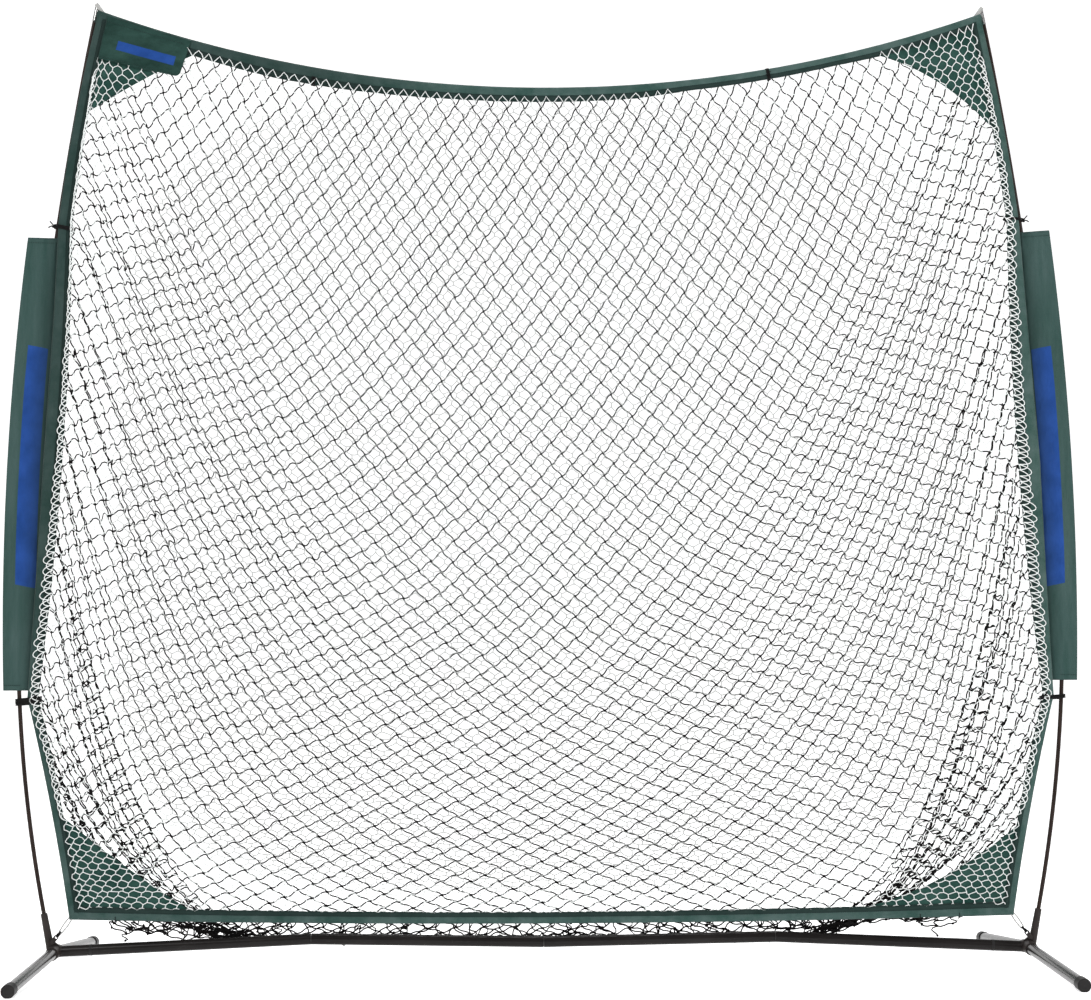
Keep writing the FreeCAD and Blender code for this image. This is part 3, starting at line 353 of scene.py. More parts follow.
finishes = {
    "gloss_black_paint": makePlain("glossBlackPaint", "paint", (0.007, 0.006, 0.0058),
                                   (0.014, 0.012, 0.0115), Specular_IOR_Level=0.15),
    "hub_plastic": makePlain("hubPlastic", "hub", (0.020, 0.016, 0.015), (0.034, 0.028, 0.026),
                             Specular_IOR_Level=0.15),
    "black_cap_plastic": makePlain("capPlastic", "cap", (0.011, 0.0105, 0.0105), (0.020, 0.019, 0.019),
                                   Specular_IOR_Level=0.15),
    "inner_steel": makePlain("darkSteel", "steel", (0.06, 0.06, 0.058), (0.15, 0.15, 0.148), Metallic=1.0),
    "dark_fibreglass": makePlain("darkFibreglass", "fibreglass", (0.010, 0.0066, 0.0058),
                                 (0.036, 0.0235, 0.020), Specular_IOR_Level=0.12),
    "bare_metal_tip": makePlain("tipMetal", "tip", (0.20, 0.20, 0.20), (0.40, 0.40, 0.39), Metallic=1.0),
    "green_cloth": makeGreenCloth("greenCloth", "hem", 0.12).material,
    "banner_cloth": makeBannerCloth(),
    "white_webbing": makeStrands("whiteWebbing", "webbing", (0.34, 0.34, 0.33), (0.62, 0.62, 0.60),
                                 0.0016, 0.7).material,
    "black_cord": makeStrands("blackCord", "twine", (0.006, 0.006, 0.006), (0.020, 0.020, 0.020),
                              0.0018, 0.7).material,
    "elastic_cord": makeStrands("elasticCord", "twine", (0.015, 0.015, 0.016), (0.09, 0.09, 0.10),
                                0.0012, 0.6).material,
    "white_twine": makeWhiteTwine(),
    "black_twine": makeStrands("blackTwine", "twine", (0.005, 0.0045, 0.0045), (0.014, 0.0125, 0.0125),
                               0.0020, 0.8).material,
}
flapCloth = makeFlapCloth()
patchCloth = makeGreenCloth("patchCloth", "patch", 0.07).material
hemCloth = makeHemCloth()
# the legs get a lighter copy of the bar's gloss black paint: the raised base colour is painted reflection,
# and the higher specular is the shader's own
legPaintAndReflection = makePlain("legPaintAndReflection", "paint", (0.016, 0.015, 0.0145), (0.030, 0.028, 0.027),
                     Specular_IOR_Level=0.5)
slotOf = {part["node"]: part["material_slot"] for part in frame["record"]["subparts"]}
for name, obj in nodes.items():
    obj.data.materials.clear()
    obj.data.materials.append(legPaintAndReflection if name.endswith("_leg") else finishes[slotOf[name]])
print("stage: materials")

# shapes shared by the pieces
poles = {
    "footX": 1.1139,
    "axisZ": 0.042,
    "bendFrom": 0.130,
    "heights": (0.612, 1.166, 1.718, 2.232),
    "leans": (11.6, 3.5, -5.3, -7.4, -10.6),
}
hem = {
    "topCorner": (1.040, 2.222), "topDip": 2.040,
    "waist": (1.117, 1.716), "hip": (1.176, 0.612),
    "lowCorner": (1.072, 0.114), "lowDip": 0.100,
    "bows": (0.006, -0.004, -0.006),
    "width": 0.025, "thick": 0.005, "front": -0.0119, "back": -0.0069,
    "fullness": 0.012,      # side hems are wider halfway between waist and hip
    # widths along the top and the bottom, by X
    "topWidths": ((-1.04, 0.030), (-0.83, 0.036), (-0.62, 0.043), (-0.46, 0.041), (-0.22, 0.036),
                  (0.22, 0.034), (0.34, 0.026), (0.70, 0.0245), (0.81, 0.028), (1.04, 0.028)),
    "lowWidths": ((-1.07, 0.030), (-0.80, 0.028), (0.0, 0.026), (0.80, 0.029), (1.07, 0.031)),
    "seam": hemSeam, "edge": 0.92,  # stitch rows as shares of the width
}


def byPlace(table, where):
    return np.interp(where, *zip(*table))


def midHem(z):
    # 0 at the waist and at the hip, 1 halfway
    (top, low) = hem["waist"][1], hem["hip"][1]
    share = np.clip((top - z) / (top - low), 0, 1)
    return 4 * share * (1 - share)


def poleX(height):
    lean = math.radians(poles["leans"][0])
    x = poles["footX"] + (poles["bendFrom"] - poles["axisZ"]) * math.tan(lean)
    z = poles["bendFrom"]
    if height <= z:
        return poles["footX"] + (height - poles["axisZ"]) * math.tan(lean)
    for top, degrees in zip(poles["heights"], poles["leans"][1:]):
        following = math.radians(degrees)
        radius = (top - z) / (math.sin(lean) - math.sin(following))
        centreX = x - radius * math.cos(lean)
        centreZ = z + radius * math.sin(lean)
        if height <= top or top == poles["heights"][-1]:
            return centreX + math.sqrt(radius ** 2 - (centreZ - height) ** 2)
        x, z, lean = centreX + radius * math.cos(following), top, following


def circleThrough(corner, dip):
    rise = corner[1] - dip
    return (corner[0] ** 2 + rise ** 2) / (2 * rise)


topRadius = circleThrough(hem["topCorner"], hem["topDip"])
lowRadius = circleThrough(hem["lowCorner"], hem["lowDip"])


def topEdge(x):
    return hem["topDip"] + topRadius - np.sqrt(topRadius ** 2 - np.asarray(x) ** 2)


def lowEdge(x):
    return hem["lowDip"] + lowRadius - np.sqrt(lowRadius ** 2 - np.asarray(x) ** 2)


def sidePath(step):
    # outer edge of the right hem from the top corner down, as X and Z
    points = []
    stops = (hem["topCorner"], hem["waist"], hem["hip"], hem["lowCorner"])
    for (ax, az), (bx, bz), bow in zip(stops, stops[1:], hem["bows"]):
        length = math.hypot(bx - ax, bz - az)
        count = max(2, round(length / step))
        outX, outZ = (az - bz) / length, (bx - ax) / length
        for k in range(count):
            t = k / count
            lift = 4 * bow * t * (1 - t)
            points.append((ax + (bx - ax) * t + outX * lift, az + (bz - az) * t + outZ * lift))
    points.append(hem["lowCorner"])
    return np.array(points)


sideLine = sidePath(0.01)


def sideEdge(z):
    return np.interp(z, sideLine[::-1, 1], sideLine[::-1, 0])


def atSide(z):
    # inner edge of a side hem
    return sideEdge(z) - hem["width"] - hem["fullness"] * midHem(z)


def unit(vector):
    vector = np.array(vector, dtype=float)
    return vector / np.linalg.norm(vector)


def sheetFaces(rows, columns):
    starts = [j * columns + i for j in range(rows - 1) for i in range(columns - 1)]
    return [(k, k + 1, k + columns + 1, k + columns) for k in starts]


def addWall(piece, thick):
    shell = piece.modifiers.new("thickness", "SOLIDIFY")
    shell.thickness = thick
    shell.offset = 0


def meshObject(name, points, faces, material=None, edges=()):
    mesh = bpy.data.meshes.new(name)
    mesh.from_pydata([tuple(p) for p in points], list(edges), faces)
    mesh.update()
    if material:
        mesh.materials.append(material)
    obj = bpy.data.objects.new(name, mesh)
    bpy.context.scene.collection.objects.link(obj)
    return obj


def smooth(obj):
    for face in obj.data.polygons:
        face.use_smooth = True
    return obj


def ringFaces(rings, around, closed=False, caps=True):
    # quads between rings of points that each go once round
    faces = []
    for k in range(rings if closed else rings - 1):
        following = (k + 1) % rings
        for m in range(around):
            n = (m + 1) % around
            faces.append((k * around + m, k * around + n, following * around + n, following * around + m))
    if caps and not closed:
        faces.append(tuple(reversed(range(around))))
        faces.append(tuple((rings - 1) * around + m for m in range(around)))
    return faces


def outward(obj):
    # closed pieces get their faces turned outwards
    work = bmesh.new()
    work.from_mesh(obj.data)
    bmesh.ops.recalc_face_normals(work, faces=work.faces)
    work.to_mesh(obj.data)
    work.free()
    return obj


def finishPiece(obj, body, slotName, *replaced):
    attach(obj, body)
    if replaced:
        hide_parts(*replaced)
    return obj


# geometry node trees


def makeTree(name, inputs, kinds, links):
    # inputs: label, kind, default; kinds: node type, settings, socket values
    # links: "node.socket node.socket", with _ for a space inside a socket's name
    tree = bpy.data.node_groups.new(name, "GeometryNodeTree")
    tree.interface.new_socket("Geometry", in_out="OUTPUT", socket_type="NodeSocketGeometry")
    tree.interface.new_socket("Geometry", in_out="INPUT", socket_type="NodeSocketGeometry")
    for label, kind, value in inputs:
        made = tree.interface.new_socket(label, in_out="INPUT", socket_type="NodeSocket" + kind)
        made.default_value = value
    tree.interface.new_socket("Finish", in_out="INPUT", socket_type="NodeSocketMaterial")
    made = {"start": tree.nodes.new("NodeGroupInput"), "end": tree.nodes.new("NodeGroupOutput")}
    for short, (kind, settings, values) in kinds.items():
        made[short] = tree.nodes.new(kind)
        for key, value in settings.items():
            setattr(made[short], key, value)
        for key, value in values.items():
            made[short].inputs[key].default_value = value
    for line in links + ("start.Finish paint.Material", "paint.Geometry end.Geometry"):
        (source, output), (target, socket) = (place.split(".") for place in line.split(" "))
        tree.links.new(made[source].outputs[output], made[target].inputs[socket.replace("_", " ")])
    return tree


instancing = {
    "place": ("GeometryNodeInstanceOnPoints", {}, {}),
    "scale": ("ShaderNodeCombineXYZ", {}, {}),
    "realize": ("GeometryNodeRealizeInstances", {}, {}),
    "paint": ("GeometryNodeSetMaterial", {}, {}),
}
trees = {
    # every edge becomes a round twine
    "twine": makeTree(
        "twineOnEdges", (("Radius", "Float", 0.001), ("Sides", "Int", 4)), {
            "curve": ("GeometryNodeMeshToCurve", {}, {}),
            "ring": ("GeometryNodeCurvePrimitiveCircle", {}, {}),
            "tube": ("GeometryNodeCurveToMesh", {}, {"Fill Caps": True}),
            "shade": ("GeometryNodeSetShadeSmooth", {}, {}),
            "realize": ("GeometryNodeRealizeInstances", {}, {}),
            "paint": ("GeometryNodeSetMaterial", {}, {}),
        }, (
            "start.Geometry curve.Mesh", "start.Radius ring.Radius", "start.Sides ring.Resolution",
            "curve.Curve tube.Curve", "ring.Curve tube.Profile_Curve", "tube.Mesh shade.Geometry",
            "shade.Geometry realize.Geometry", "realize.Geometry paint.Geometry",
        )),
    # a small bead on every point, each turned a little differently
    "knots": makeTree(
        "knotsOnPoints", (("Width", "Float", 0.0035), ("Height", "Float", 0.005), ("Seed", "Int", 3)), {
            "bead": ("GeometryNodeMeshIcoSphere", {}, {"Radius": 0.5, "Subdivisions": 1}),
            "turn": ("FunctionNodeRandomValue", {"data_type": "FLOAT_VECTOR"},
                     {0: (-0.4, -0.6, -0.4), 1: (0.4, 0.6, 0.4)}),
            "shade": ("GeometryNodeSetShadeSmooth", {}, {}), **instancing,
        }, (
            "start.Width scale.X", "start.Width scale.Y", "start.Height scale.Z",
            "start.Geometry place.Points", "bead.Mesh place.Instance", "scale.Vector place.Scale",
            "start.Seed turn.Seed", "turn.Value place.Rotation", "place.Instances realize.Geometry",
            "realize.Geometry shade.Geometry", "shade.Geometry paint.Geometry",
        )),
    # short stitches spaced along a path of edges
    "stitches": makeTree(
        "stitchesOnPath",
        (("Spacing", "Float", 0.005), ("Stitch", "Float", 0.0034), ("Thread", "Float", 0.0009)), {
            "curve": ("GeometryNodeMeshToCurve", {}, {}),
            "spaced": ("GeometryNodeResampleCurve", {"mode": "LENGTH"}, {}),
            "bead": ("GeometryNodeMeshCylinder", {}, {"Vertices": 6, "Radius": 0.5, "Depth": 1.0}),
            "tangent": ("GeometryNodeInputTangent", {}, {}),
            "align": ("FunctionNodeAlignEulerToVector", {"axis": "Z"}, {}), **instancing,
        }, (
            "start.Geometry curve.Mesh", "curve.Curve spaced.Curve", "start.Spacing spaced.Length",
            "tangent.Tangent align.Vector", "align.Rotation place.Rotation", "start.Thread scale.X",
            "start.Thread scale.Y", "start.Stitch scale.Z", "scale.Vector place.Scale",
            "spaced.Curve place.Points", "bead.Mesh place.Instance", "place.Instances realize.Geometry",
            "realize.Geometry paint.Geometry",
        )),
}


def bake(obj, treeName, **values):
    # run a node tree on the object once and keep the result as plain mesh
    tree = trees[treeName]
    modifier = obj.modifiers.new(treeName, "NODES")
    modifier.node_group = tree
    wanted = {key.lower(): value for key, value in values.items()}
    for item in tree.interface.items_tree:
        if item.in_out == "INPUT" and item.name.lower() in wanted:
            modifier[item.identifier] = wanted[item.name.lower()]
    graph = bpy.context.evaluated_depsgraph_get()
    mesh = bpy.data.meshes.new_from_object(obj.evaluated_get(graph))
    obj.modifiers.remove(modifier)
    old = obj.data
    obj.data = mesh
    bpy.data.meshes.remove(old)
    return obj


def pathEdges(first, last):
    return [(k, k + 1) for k in range(first, last - 1)]


def twined(name, points, edges, radius, sides, slotName, *replaced):
    # twine along every edge, as a finished piece on the frame
    piece = meshObject(name, points, [], None, edges)
    bake(piece, "twine", radius=radius, sides=sides, finish=finishes[slotName])
    return finishPiece(piece, "frame", slotName, *replaced)


stitching = {"spacing": 0.005, "stitch": 0.0036, "thread": 0.0010}
seamThread = makeStrands("seamThread", "twine", (0.012, 0.026, 0.023), (0.030, 0.060, 0.053),
                         0.0012, 0.6).material


def stitchRow(name, points, body, slotName):
    row = meshObject(name, points, [], None, pathEdges(0, len(points)))
    bake(row, "stitches", finish=seamThread, **stitching)
    return finishPiece(row, body, slotName)


def softNoise(seed, amount, waves):
    # smooth repeatable variation along a length, in metres
    source = np.random.default_rng(seed)
    phases = source.uniform(0, 2 * math.pi, len(waves))
    sizes = source.uniform(0.5, 1.0, len(waves)) * amount / len(waves)
    return lambda s: sum(a * np.sin(2 * math.pi * s / w + p) for a, w, p in zip(sizes, waves, phases))


print("stage: node trees")

# black rear net
rearNet = {
    "columns": 102,         # half meshes across
    "rows": 102,            # half meshes down
    "bar": 0.0364,          # twine between two knots
    "twine": 0.00165,       # radius
    "knotWidth": 0.0058, "knotHeight": 0.0074,
    "pieces": ("rear_net_left", "rear_net_middle_left", "rear_net_middle_right", "rear_net_right"),
    "steps": 420, "passes": 14,
    # speed kept before and after the net is calmed, then shares of the steps
    "damping": (0.90, 0.6), "calmFrom": 0.7, "lightFrom": 0.8,
    "gravity": 0.0011, "push": 0.00022,
    "pushAt": ((0.10, 0.45), (-0.8, 1.0)),      # share of the push by height
    "behind": ((0.088, 0.112), (0.0185, 0.0022)),    # least Y by height: the bar, then the hem's back
    "heldTo": 0.600, "heldShare": 0.735,        # the sides are laced down to this height, with these rows
    "inset": 0.006, "topInset": 0.016,
    # shape before it hangs: shares of the rows that go down and that come back, then metres
    "start": {"down": 0.76, "back": 0.24, "low": 0.27, "dip": 0.11, "deep": 0.12, "rough": 0.002},
    "uneven": 0.015, "weak": 0.16, "least": (0.50, 0.84, 0.2), "bunchedFrom": 0.42,
    "freeLeft": ((1.130, 0.500, 0.003), (1.104, 0.410, 0.004), (1.080, 0.352, 0.006), (1.042, 0.286, 0.010),
                 (1.004, 0.200, 0.012), (0.998, 0.112, 0.002), (0.950, 0.064, 0.014)),    # distance out, Z, Y
    "freeRight": ((1.135, 0.500, 0.002), (1.118, 0.420, 0.002), (1.105, 0.352, 0.004), (1.062, 0.285, 0.012),
                  (1.012, 0.200, 0.016), (0.962, 0.112, 0.004), (0.902, 0.066, 0.014)),
    "lowRoom": (0.10, 0.050),   # near its ends the lower edge hangs free: share of the half width, drop
    "lowLap": 0.012, "lowBack": 0.001, "bunchedRows": 8,
    # twine between two knots: mean, spread and the rest for its single and its double bow, then its depth
    "single": (0.75, 0.7, 0.0012), "double": (0.55, 0.35, 0.0018), "depth": 0.6, "slackest": 0.03,
    "floor": 0.063,         # lowest knot
    "segments": 5,
}


def edgeBySpan(line, count):
    # evenly spaced points along a line of points
    steps = np.linalg.norm(np.diff(line, axis=0), axis=1)
    run = np.concatenate([[0], np.cumsum(steps)])
    wanted = np.linspace(0, run[-1], count)
    return np.stack([np.interp(wanted, run, line[:, k]) for k in range(line.shape[1])], axis=1)


def hangRearNet():
    cfg = rearNet
    nx, ny = cfg["columns"], cfg["rows"]
    source = np.random.default_rng(5)
    u = np.linspace(-1, 1, nx + 1)
    lace = hem["back"] + cfg["behind"][1][1]
    inset = hem["width"] - cfg["inset"]
    topX = u * (hem["topCorner"][0] - cfg["topInset"])
    topZ = topEdge(topX) - inset
    sideZ = np.linspace(topZ[-1], cfg["heldTo"], 200)
    sideLace = np.stack([sideEdge(sideZ) - inset, sideZ], axis=1)
    heldRows = int(round(ny * cfg["heldShare"]))
    held = edgeBySpan(sideLace, heldRows + 1)
    edges = {}
    for side, word in ((-1, "freeLeft"), (1, "freeRight")):
        line = np.array([(held[-1, 0], held[-1, 1], lace), *cfg[word]])
        free = edgeBySpan(line, ny - heldRows + 1)[1:]
        whole = np.concatenate([np.column_stack([held, np.full(heldRows + 1, lace)]), free])
        edges[side] = whole * (side, 1, 1)
    lowX = np.interp(u, (-1, 1), (-cfg["freeLeft"][-1][0], cfg["freeRight"][-1][0]))
    room, drop = cfg["lowRoom"]
    lowZ = lowEdge(lowX) + cfg["lowLap"] - drop * np.clip((np.abs(u) - 1 + room) / room, 0, 1)
    place = np.zeros((ny + 1, nx + 1, 3))
    start = cfg["start"]
    for j in range(ny + 1):
        # straight down and back, then round and forward to the low edge
        v, low = j / ny, start["low"]
        x = edges[-1][j, 0] * (1 - u) / 2 + edges[1][j, 0] * (1 + u) / 2
        edgeZ = np.where(u < 0, edges[-1][j, 1], edges[1][j, 1])
        if v < start["down"]:
            share = v / start["down"]
            z = topZ + (low - topZ) * share
            back = math.sin(share * math.pi / 2)
        else:
            turn = (v - start["down"]) / start["back"] * math.pi
            z = low + (lowZ - low) * (v - start["down"]) / start["back"] - start["dip"] * math.sin(turn)
            back = (1 + math.cos(turn)) / 2
        z = z + (edgeZ - z) * np.abs(u) ** 6
        y = lace + start["deep"] * (1 - np.abs(u) ** 3) * back
        place[j] = np.stack([x, y, z], axis=1)
    there = (np.add.outer(np.arange(ny + 1), np.arange(nx + 1)) % 2) == 0
    place += source.normal(0, start["rough"], place.shape)
    loose = np.zeros((ny + 1, nx + 1))
    loose[1:-1, 1:-1] = 1
    place[0] = np.stack([topX, np.full(nx + 1, lace), topZ], axis=1)
    place[ny] = np.stack([lowX, np.full(nx + 1, lace + cfg["lowBack"]), lowZ], axis=1)
    for side, column in ((-1, 0), (1, nx)):
        place[:, column] = edges[side][:, (0, 2, 1)]
    groups = []
    weak = source.random(nx + ny + 2) < cfg["weak"]
    for slant in (1, -1):
        for parity in (0, 1):
            rows, columns = np.meshgrid(np.arange(parity, ny, 2), np.arange(nx + 1), indexing="ij")
            rows, columns = rows.ravel(), columns.ravel()
            good = ((rows + columns) % 2 == 0) & (columns + slant >= 0) & (columns + slant <= nx)
            rows, columns = rows[good], columns[good]
            rest = cfg["bar"] * (1 + source.normal(0, cfg["uneven"], len(rows)))
            strip = (rows - columns) if slant < 0 else (rows + columns)
            slackSide = (columns < nx / 2) if slant < 0 else (columns >= nx / 2)
            bunched = np.abs(columns / nx - 0.5) > cfg["bunchedFrom"]
            bunched &= rows > heldRows - cfg["bunchedRows"]
            # a twine may fold to this share of its length
            folded, straight, crushed = cfg["least"]
            least = np.where(slackSide & weak[np.abs(strip) % len(weak)], folded, straight)
            least = np.where(bunched, crushed, least)
            groups.append((rows, columns, rows + 1, columns + slant, rest, least))
    before = place.copy()
    for step in range(cfg["steps"]):
        damp = cfg["damping"][step >= cfg["steps"] * cfg["calmFrom"]]
        speed = (place - before) * damp
        before = place.copy()
        pull = cfg["gravity"] * (0.5 if step >= cfg["steps"] * cfg["lightFrom"] else 1)
        place[..., 2] += (speed[..., 2] - pull) * (loose > 0)
        push = np.interp(place[..., 2], *cfg["pushAt"]) * cfg["push"] * pull / cfg["gravity"]
        place[..., 1] += (speed[..., 1] + push) * (loose > 0)
        place[..., 0] += speed[..., 0] * (loose > 0)
        for _ in range(cfg["passes"]):
            for r0, c0, r1, c1, rest, least in groups:
                a, b = place[r0, c0], place[r1, c1]
                gap = b - a
                long = np.sqrt((gap * gap).sum(axis=1)) + 1e-9
                over = np.maximum(long - rest, 0) + np.minimum(long - rest * least, 0) * 0.5
                wa, wb = loose[r0, c0], loose[r1, c1]
                share = over / long / np.maximum(wa + wb, 1e-9)
                place[r0, c0] = a + gap * (share * wa)[:, None]
                place[r1, c1] = b - gap * (share * wb)[:, None]
        behind = np.interp(place[..., 2], cfg["behind"][0], (cfg["behind"][1][0], lace))
        place[..., 1] = np.maximum(place[..., 1], behind)
        place[..., 2] = np.maximum(place[..., 2], cfg["floor"])
    print("rear net: deepest", round(float(place[there][:, 1].max()), 3),
          "lowest", round(float(place[there][:, 2].min()), 3))
    return place, there, groups


def buildRearNet():
    cfg = rearNet
    place, there, groups = hangRearNet()
    source = np.random.default_rng(8)
    count, nx, names = cfg["segments"], cfg["columns"], cfg["pieces"]
    parts = {name: ([], []) for name in names}
    ticks = np.linspace(0, 1, count + 1)[1:-1]
    for r0, c0, r1, c1, rest, _ in groups:
        a, b = place[r0, c0], place[r1, c1]
        gap = b - a
        long = np.linalg.norm(gap, axis=1)
        slack = np.clip(rest - long, 0, cfg["slackest"])
        bow = np.sqrt(slack * long) / math.pi
        across = np.stack([gap[:, 2], np.zeros(len(gap)), -gap[:, 0]], axis=1)
        across /= np.linalg.norm(across, axis=1)[:, None] + 1e-9
        mean, spread, rough = cfg["single"]
        single = source.normal(mean, spread, len(gap)) * bow + source.normal(0, rough, len(gap))
        mean, spread, least = cfg["double"]
        double = source.normal(mean, spread, len(gap)) * bow + least
        depth = source.normal(0, cfg["depth"], len(gap)) * bow
        for k in range(len(r0)):
            points, edges = parts[names[(c0[k] + c1[k]) * len(names) // (2 * nx)]]
            base = len(points)
            points.append(a[k])
            for t in ticks:
                lift = single[k] * math.sin(math.pi * t) + double[k] * math.sin(2 * math.pi * t)
                back = (0, depth[k] * math.sin(math.pi * t), 0)
                points.append(a[k] + gap[k] * t + across[k] * lift + back)
            points.append(b[k])
            edges.extend((base + m, base + m + 1) for m in range(count))
    for name, (points, edges) in parts.items():
        part = twined(name, points, edges, cfg["twine"], 4, "black_twine", "rear_net")
        print(name, "triangles", len(part.data.polygons) * 2)
    knots = meshObject("rear_net_knots", place[there], [])
    bake(knots, "knots", width=cfg["knotWidth"], height=cfg["knotHeight"], finish=finishes["black_twine"])
    finishPiece(knots, "frame", "black_twine")


buildRearNet()
print("stage: rear net")

# white front net
frontNet = {
    "columns": 166, "rows": 124,    # half meshes across and down
    "twine": 0.00105,
    "bar": 0.0075,                  # short twisted stretch between the slanted ones
    # between these the top hem's flat strip is folded back over the net's edge
    "turnedUnder": (0.32, 0.80),
    "widest": 1.1, "topReach": 1.03, "lowReach": 1.06,
    "lapTop": {"under": 0.9, "open": hem["seam"] - 0.04},    # shares of the hem's width
    "lapLow": 0.021,
    "flatter": 0.125, "firstRow": 0.009, "firstFade": 26.0,
    "lapSide": 0.003,               # onto the inner edge of a side hem
    "crowding": 0.42, "crowdedFor": 0.05,    # meshes narrow towards the sides
    "tight": {"from": 0.78, "much": 0.9, "down": 0.12},      # and more so at the top left
    "swirl": (0.0035, 0.0045), "sag": 0.010, "restless": (0.0013, 0.0005), "thickness": 0.0005,
    "lapped": (0.97, 0.012),        # meshes that lie over the hems, by share across and down
    "level": -0.0094, "over": -0.0140,
    "flapX": (-1.05, -0.83), "flapZ": 2.06,
    "lean": (1.6, 0.22, 0.16), "barSpread": 0.12, "bow": 0.0011,
    "pieces": ("front_net_left", "front_net_middle_left", "front_net_middle_right", "front_net_right"),
}


def netPlaces():
    # knots' places: X, Y, Z and the share across and down of every half mesh
    cfg = frontNet
    nx, ny = cfg["columns"], cfg["rows"]
    source = np.random.default_rng(21)
    u = np.linspace(-1, 1, nx + 1)[None, :].repeat(ny + 1, axis=0)
    v = np.linspace(0, 1, ny + 1)[:, None].repeat(nx + 1, axis=1)
    crowd, run = cfg["crowding"], cfg["crowdedFor"]
    spread = np.abs(u) - crowd * run * np.exp((np.abs(u) - 1) / run)
    spread = np.sign(u) * spread / (1 - crowd * run)
    # at the top left the meshes are drawn narrow towards the edge
    tight = cfg["tight"]
    near = np.clip((-u - tight["from"]) / (1 - tight["from"]), 0, 1)
    drawn = 1 - (1 - near) ** (1 + tight["much"] * np.exp(-(v / tight["down"]) ** 2))
    spread = np.where(near > 0, spread - (1 - tight["from"]) * (drawn - near), spread)
    x = u * cfg["widest"]
    # places across and down depend on one another, so they are found in a few rounds
    for _ in range(3):
        under = (x > cfg["turnedUnder"][0]) & (x < cfg["turnedUnder"][1])
        lap = byPlace(hem["topWidths"], x) * np.where(under, cfg["lapTop"]["under"], cfg["lapTop"]["open"])
        high = topEdge(np.clip(x, -cfg["topReach"], cfg["topReach"])) - lap
        low = lowEdge(np.clip(x, -cfg["lowReach"], cfg["lowReach"])) + cfg["lapLow"]
        # meshes lie flatter towards the bottom, and the first row is drawn long
        fall = v * (1 + cfg["flatter"] - cfg["flatter"] * v ** 2)
        z = high + (low - high) * fall - np.where(v > 0, cfg["firstRow"] * np.exp(-v * cfg["firstFade"]), 0)
        x = spread * (atSide(z) + cfg["lapSide"])
    inside = 1 - np.clip(np.maximum(np.abs(u), np.abs(2 * v - 1)), 0, 1) ** 8
    for _ in range(4):
        fx, fz = source.uniform(3, 9, 2)
        p, q = source.uniform(0, 6.28, 2)
        x = x + inside * cfg["swirl"][0] * np.sin(fx * z + p) * np.cos(fz * u * 2 + q)
        z = z + inside * cfg["swirl"][1] * np.sin(fz * u * 2.4 + p) * np.cos(fx * z + q)
    z = z - inside * cfg["sag"] * (1 - np.abs(u) ** 2) * np.sin(math.pi * v)
    restless, calmer = cfg["restless"]
    restless = restless - calmer * np.clip(np.maximum(np.abs(u), np.abs(2 * v - 1)) * 4 - 3, 0, 1)
    x = x + source.normal(0, 1, x.shape) * restless * (np.abs(u) < 0.999)
    z = z + source.normal(0, 1, z.shape) * restless * 1.2 * inside ** 0.2
    lapped = (np.abs(u) > cfg["lapped"][0]) | (v < cfg["lapped"][1])
    y = np.where(lapped, cfg["over"], cfg["level"]) + source.normal(0, cfg["thickness"], x.shape)
    behindFlap = (x > cfg["flapX"][0]) & (x < cfg["flapX"][1]) & (z > cfg["flapZ"])
    y = np.where((behindFlap | under) & lapped, cfg["level"], y)
    return x, y, z, u, v


def buildFrontNet():
    cfg = frontNet
    nx, ny, names = cfg["columns"], cfg["rows"], cfg["pieces"]
    x, y, z, u, v = netPlaces()
    source = np.random.default_rng(22)
    steep, much, random = cfg["lean"]
    lean = np.clip(-u * steep, -1, 1) * much + source.normal(0, random, u.shape)
    half = cfg["bar"] / 2 * (1 + source.normal(0, cfg["barSpread"], u.shape))
    upper = np.stack([x + np.sin(lean) * half, y, z + np.cos(lean) * half], axis=-1)
    lower = np.stack([x - np.sin(lean) * half, y, z - np.cos(lean) * half], axis=-1)
    bows = source.normal(0, cfg["bow"], (ny + 1, nx + 1, 2))
    parts = {name: ([], [], {}) for name in names}

    def point(name, kind, j, i):
        points, edges, number = parts[name]
        if (kind, j, i) not in number:
            number[kind, j, i] = len(points)
            points.append((upper if kind else lower)[j, i])
        return number[kind, j, i]

    for j in range(ny + 1):
        for i in range(j % 2, nx + 1, 2):
            name = names[min(len(names) - 1, i * len(names) // (nx + 1))]
            points, edges, number = parts[name]
            if 0 < j < ny:
                edges.append((point(name, 1, j, i), point(name, 0, j, i)))
            if j == ny:
                continue
            for side in (-1, 1):
                if not 0 <= i + side <= nx:
                    continue
                a, b = lower[j, i], upper[j + 1, i + side]
                bow = bows[j, i, (side + 1) // 2]
                first, last = point(name, 0, j, i), point(name, 1, j + 1, i + side)
                edges += [(first, len(points)), (len(points), last)]
                aside = np.array((b[2] - a[2], 0, a[0] - b[0]))
                points.append((a + b) / 2 + aside / np.linalg.norm(b - a) * bow)
    for name, (points, edges, number) in parts.items():
        part = twined(name, points, edges, cfg["twine"], 4, "white_twine", "front_net")
        print(name, "triangles", sum(len(face.vertices) - 2 for face in part.data.polygons))


buildFrontNet()
print("stage: front net")

# the net's side meshes, laced in loops over the side hems
lacing = {
    "radius": 0.00115, "pitch": 0.027, "steps": 12, "slant": 0.20, "front": -0.0138, "loose": 0.12,
    "shorter": 0.80, "bulge": 0.13, "rough": (0.0010, 0.0002), "under": 0.001, "strandStep": 0.0006,
    # reach out from the hem's inner edge, by height
    "left": ((0.34, 0.010), (0.50, 0.016), (0.62, 0.020), (0.80, 0.022), (1.10, 0.018), (1.40, 0.011),
             (1.60, 0.006), (2.08, 0.005)),
    "right": ((0.34, 0.013), (0.50, 0.014), (0.62, 0.020), (0.80, 0.028), (1.20, 0.030), (1.60, 0.022),
              (1.90, 0.015), (2.12, 0.011)),
}


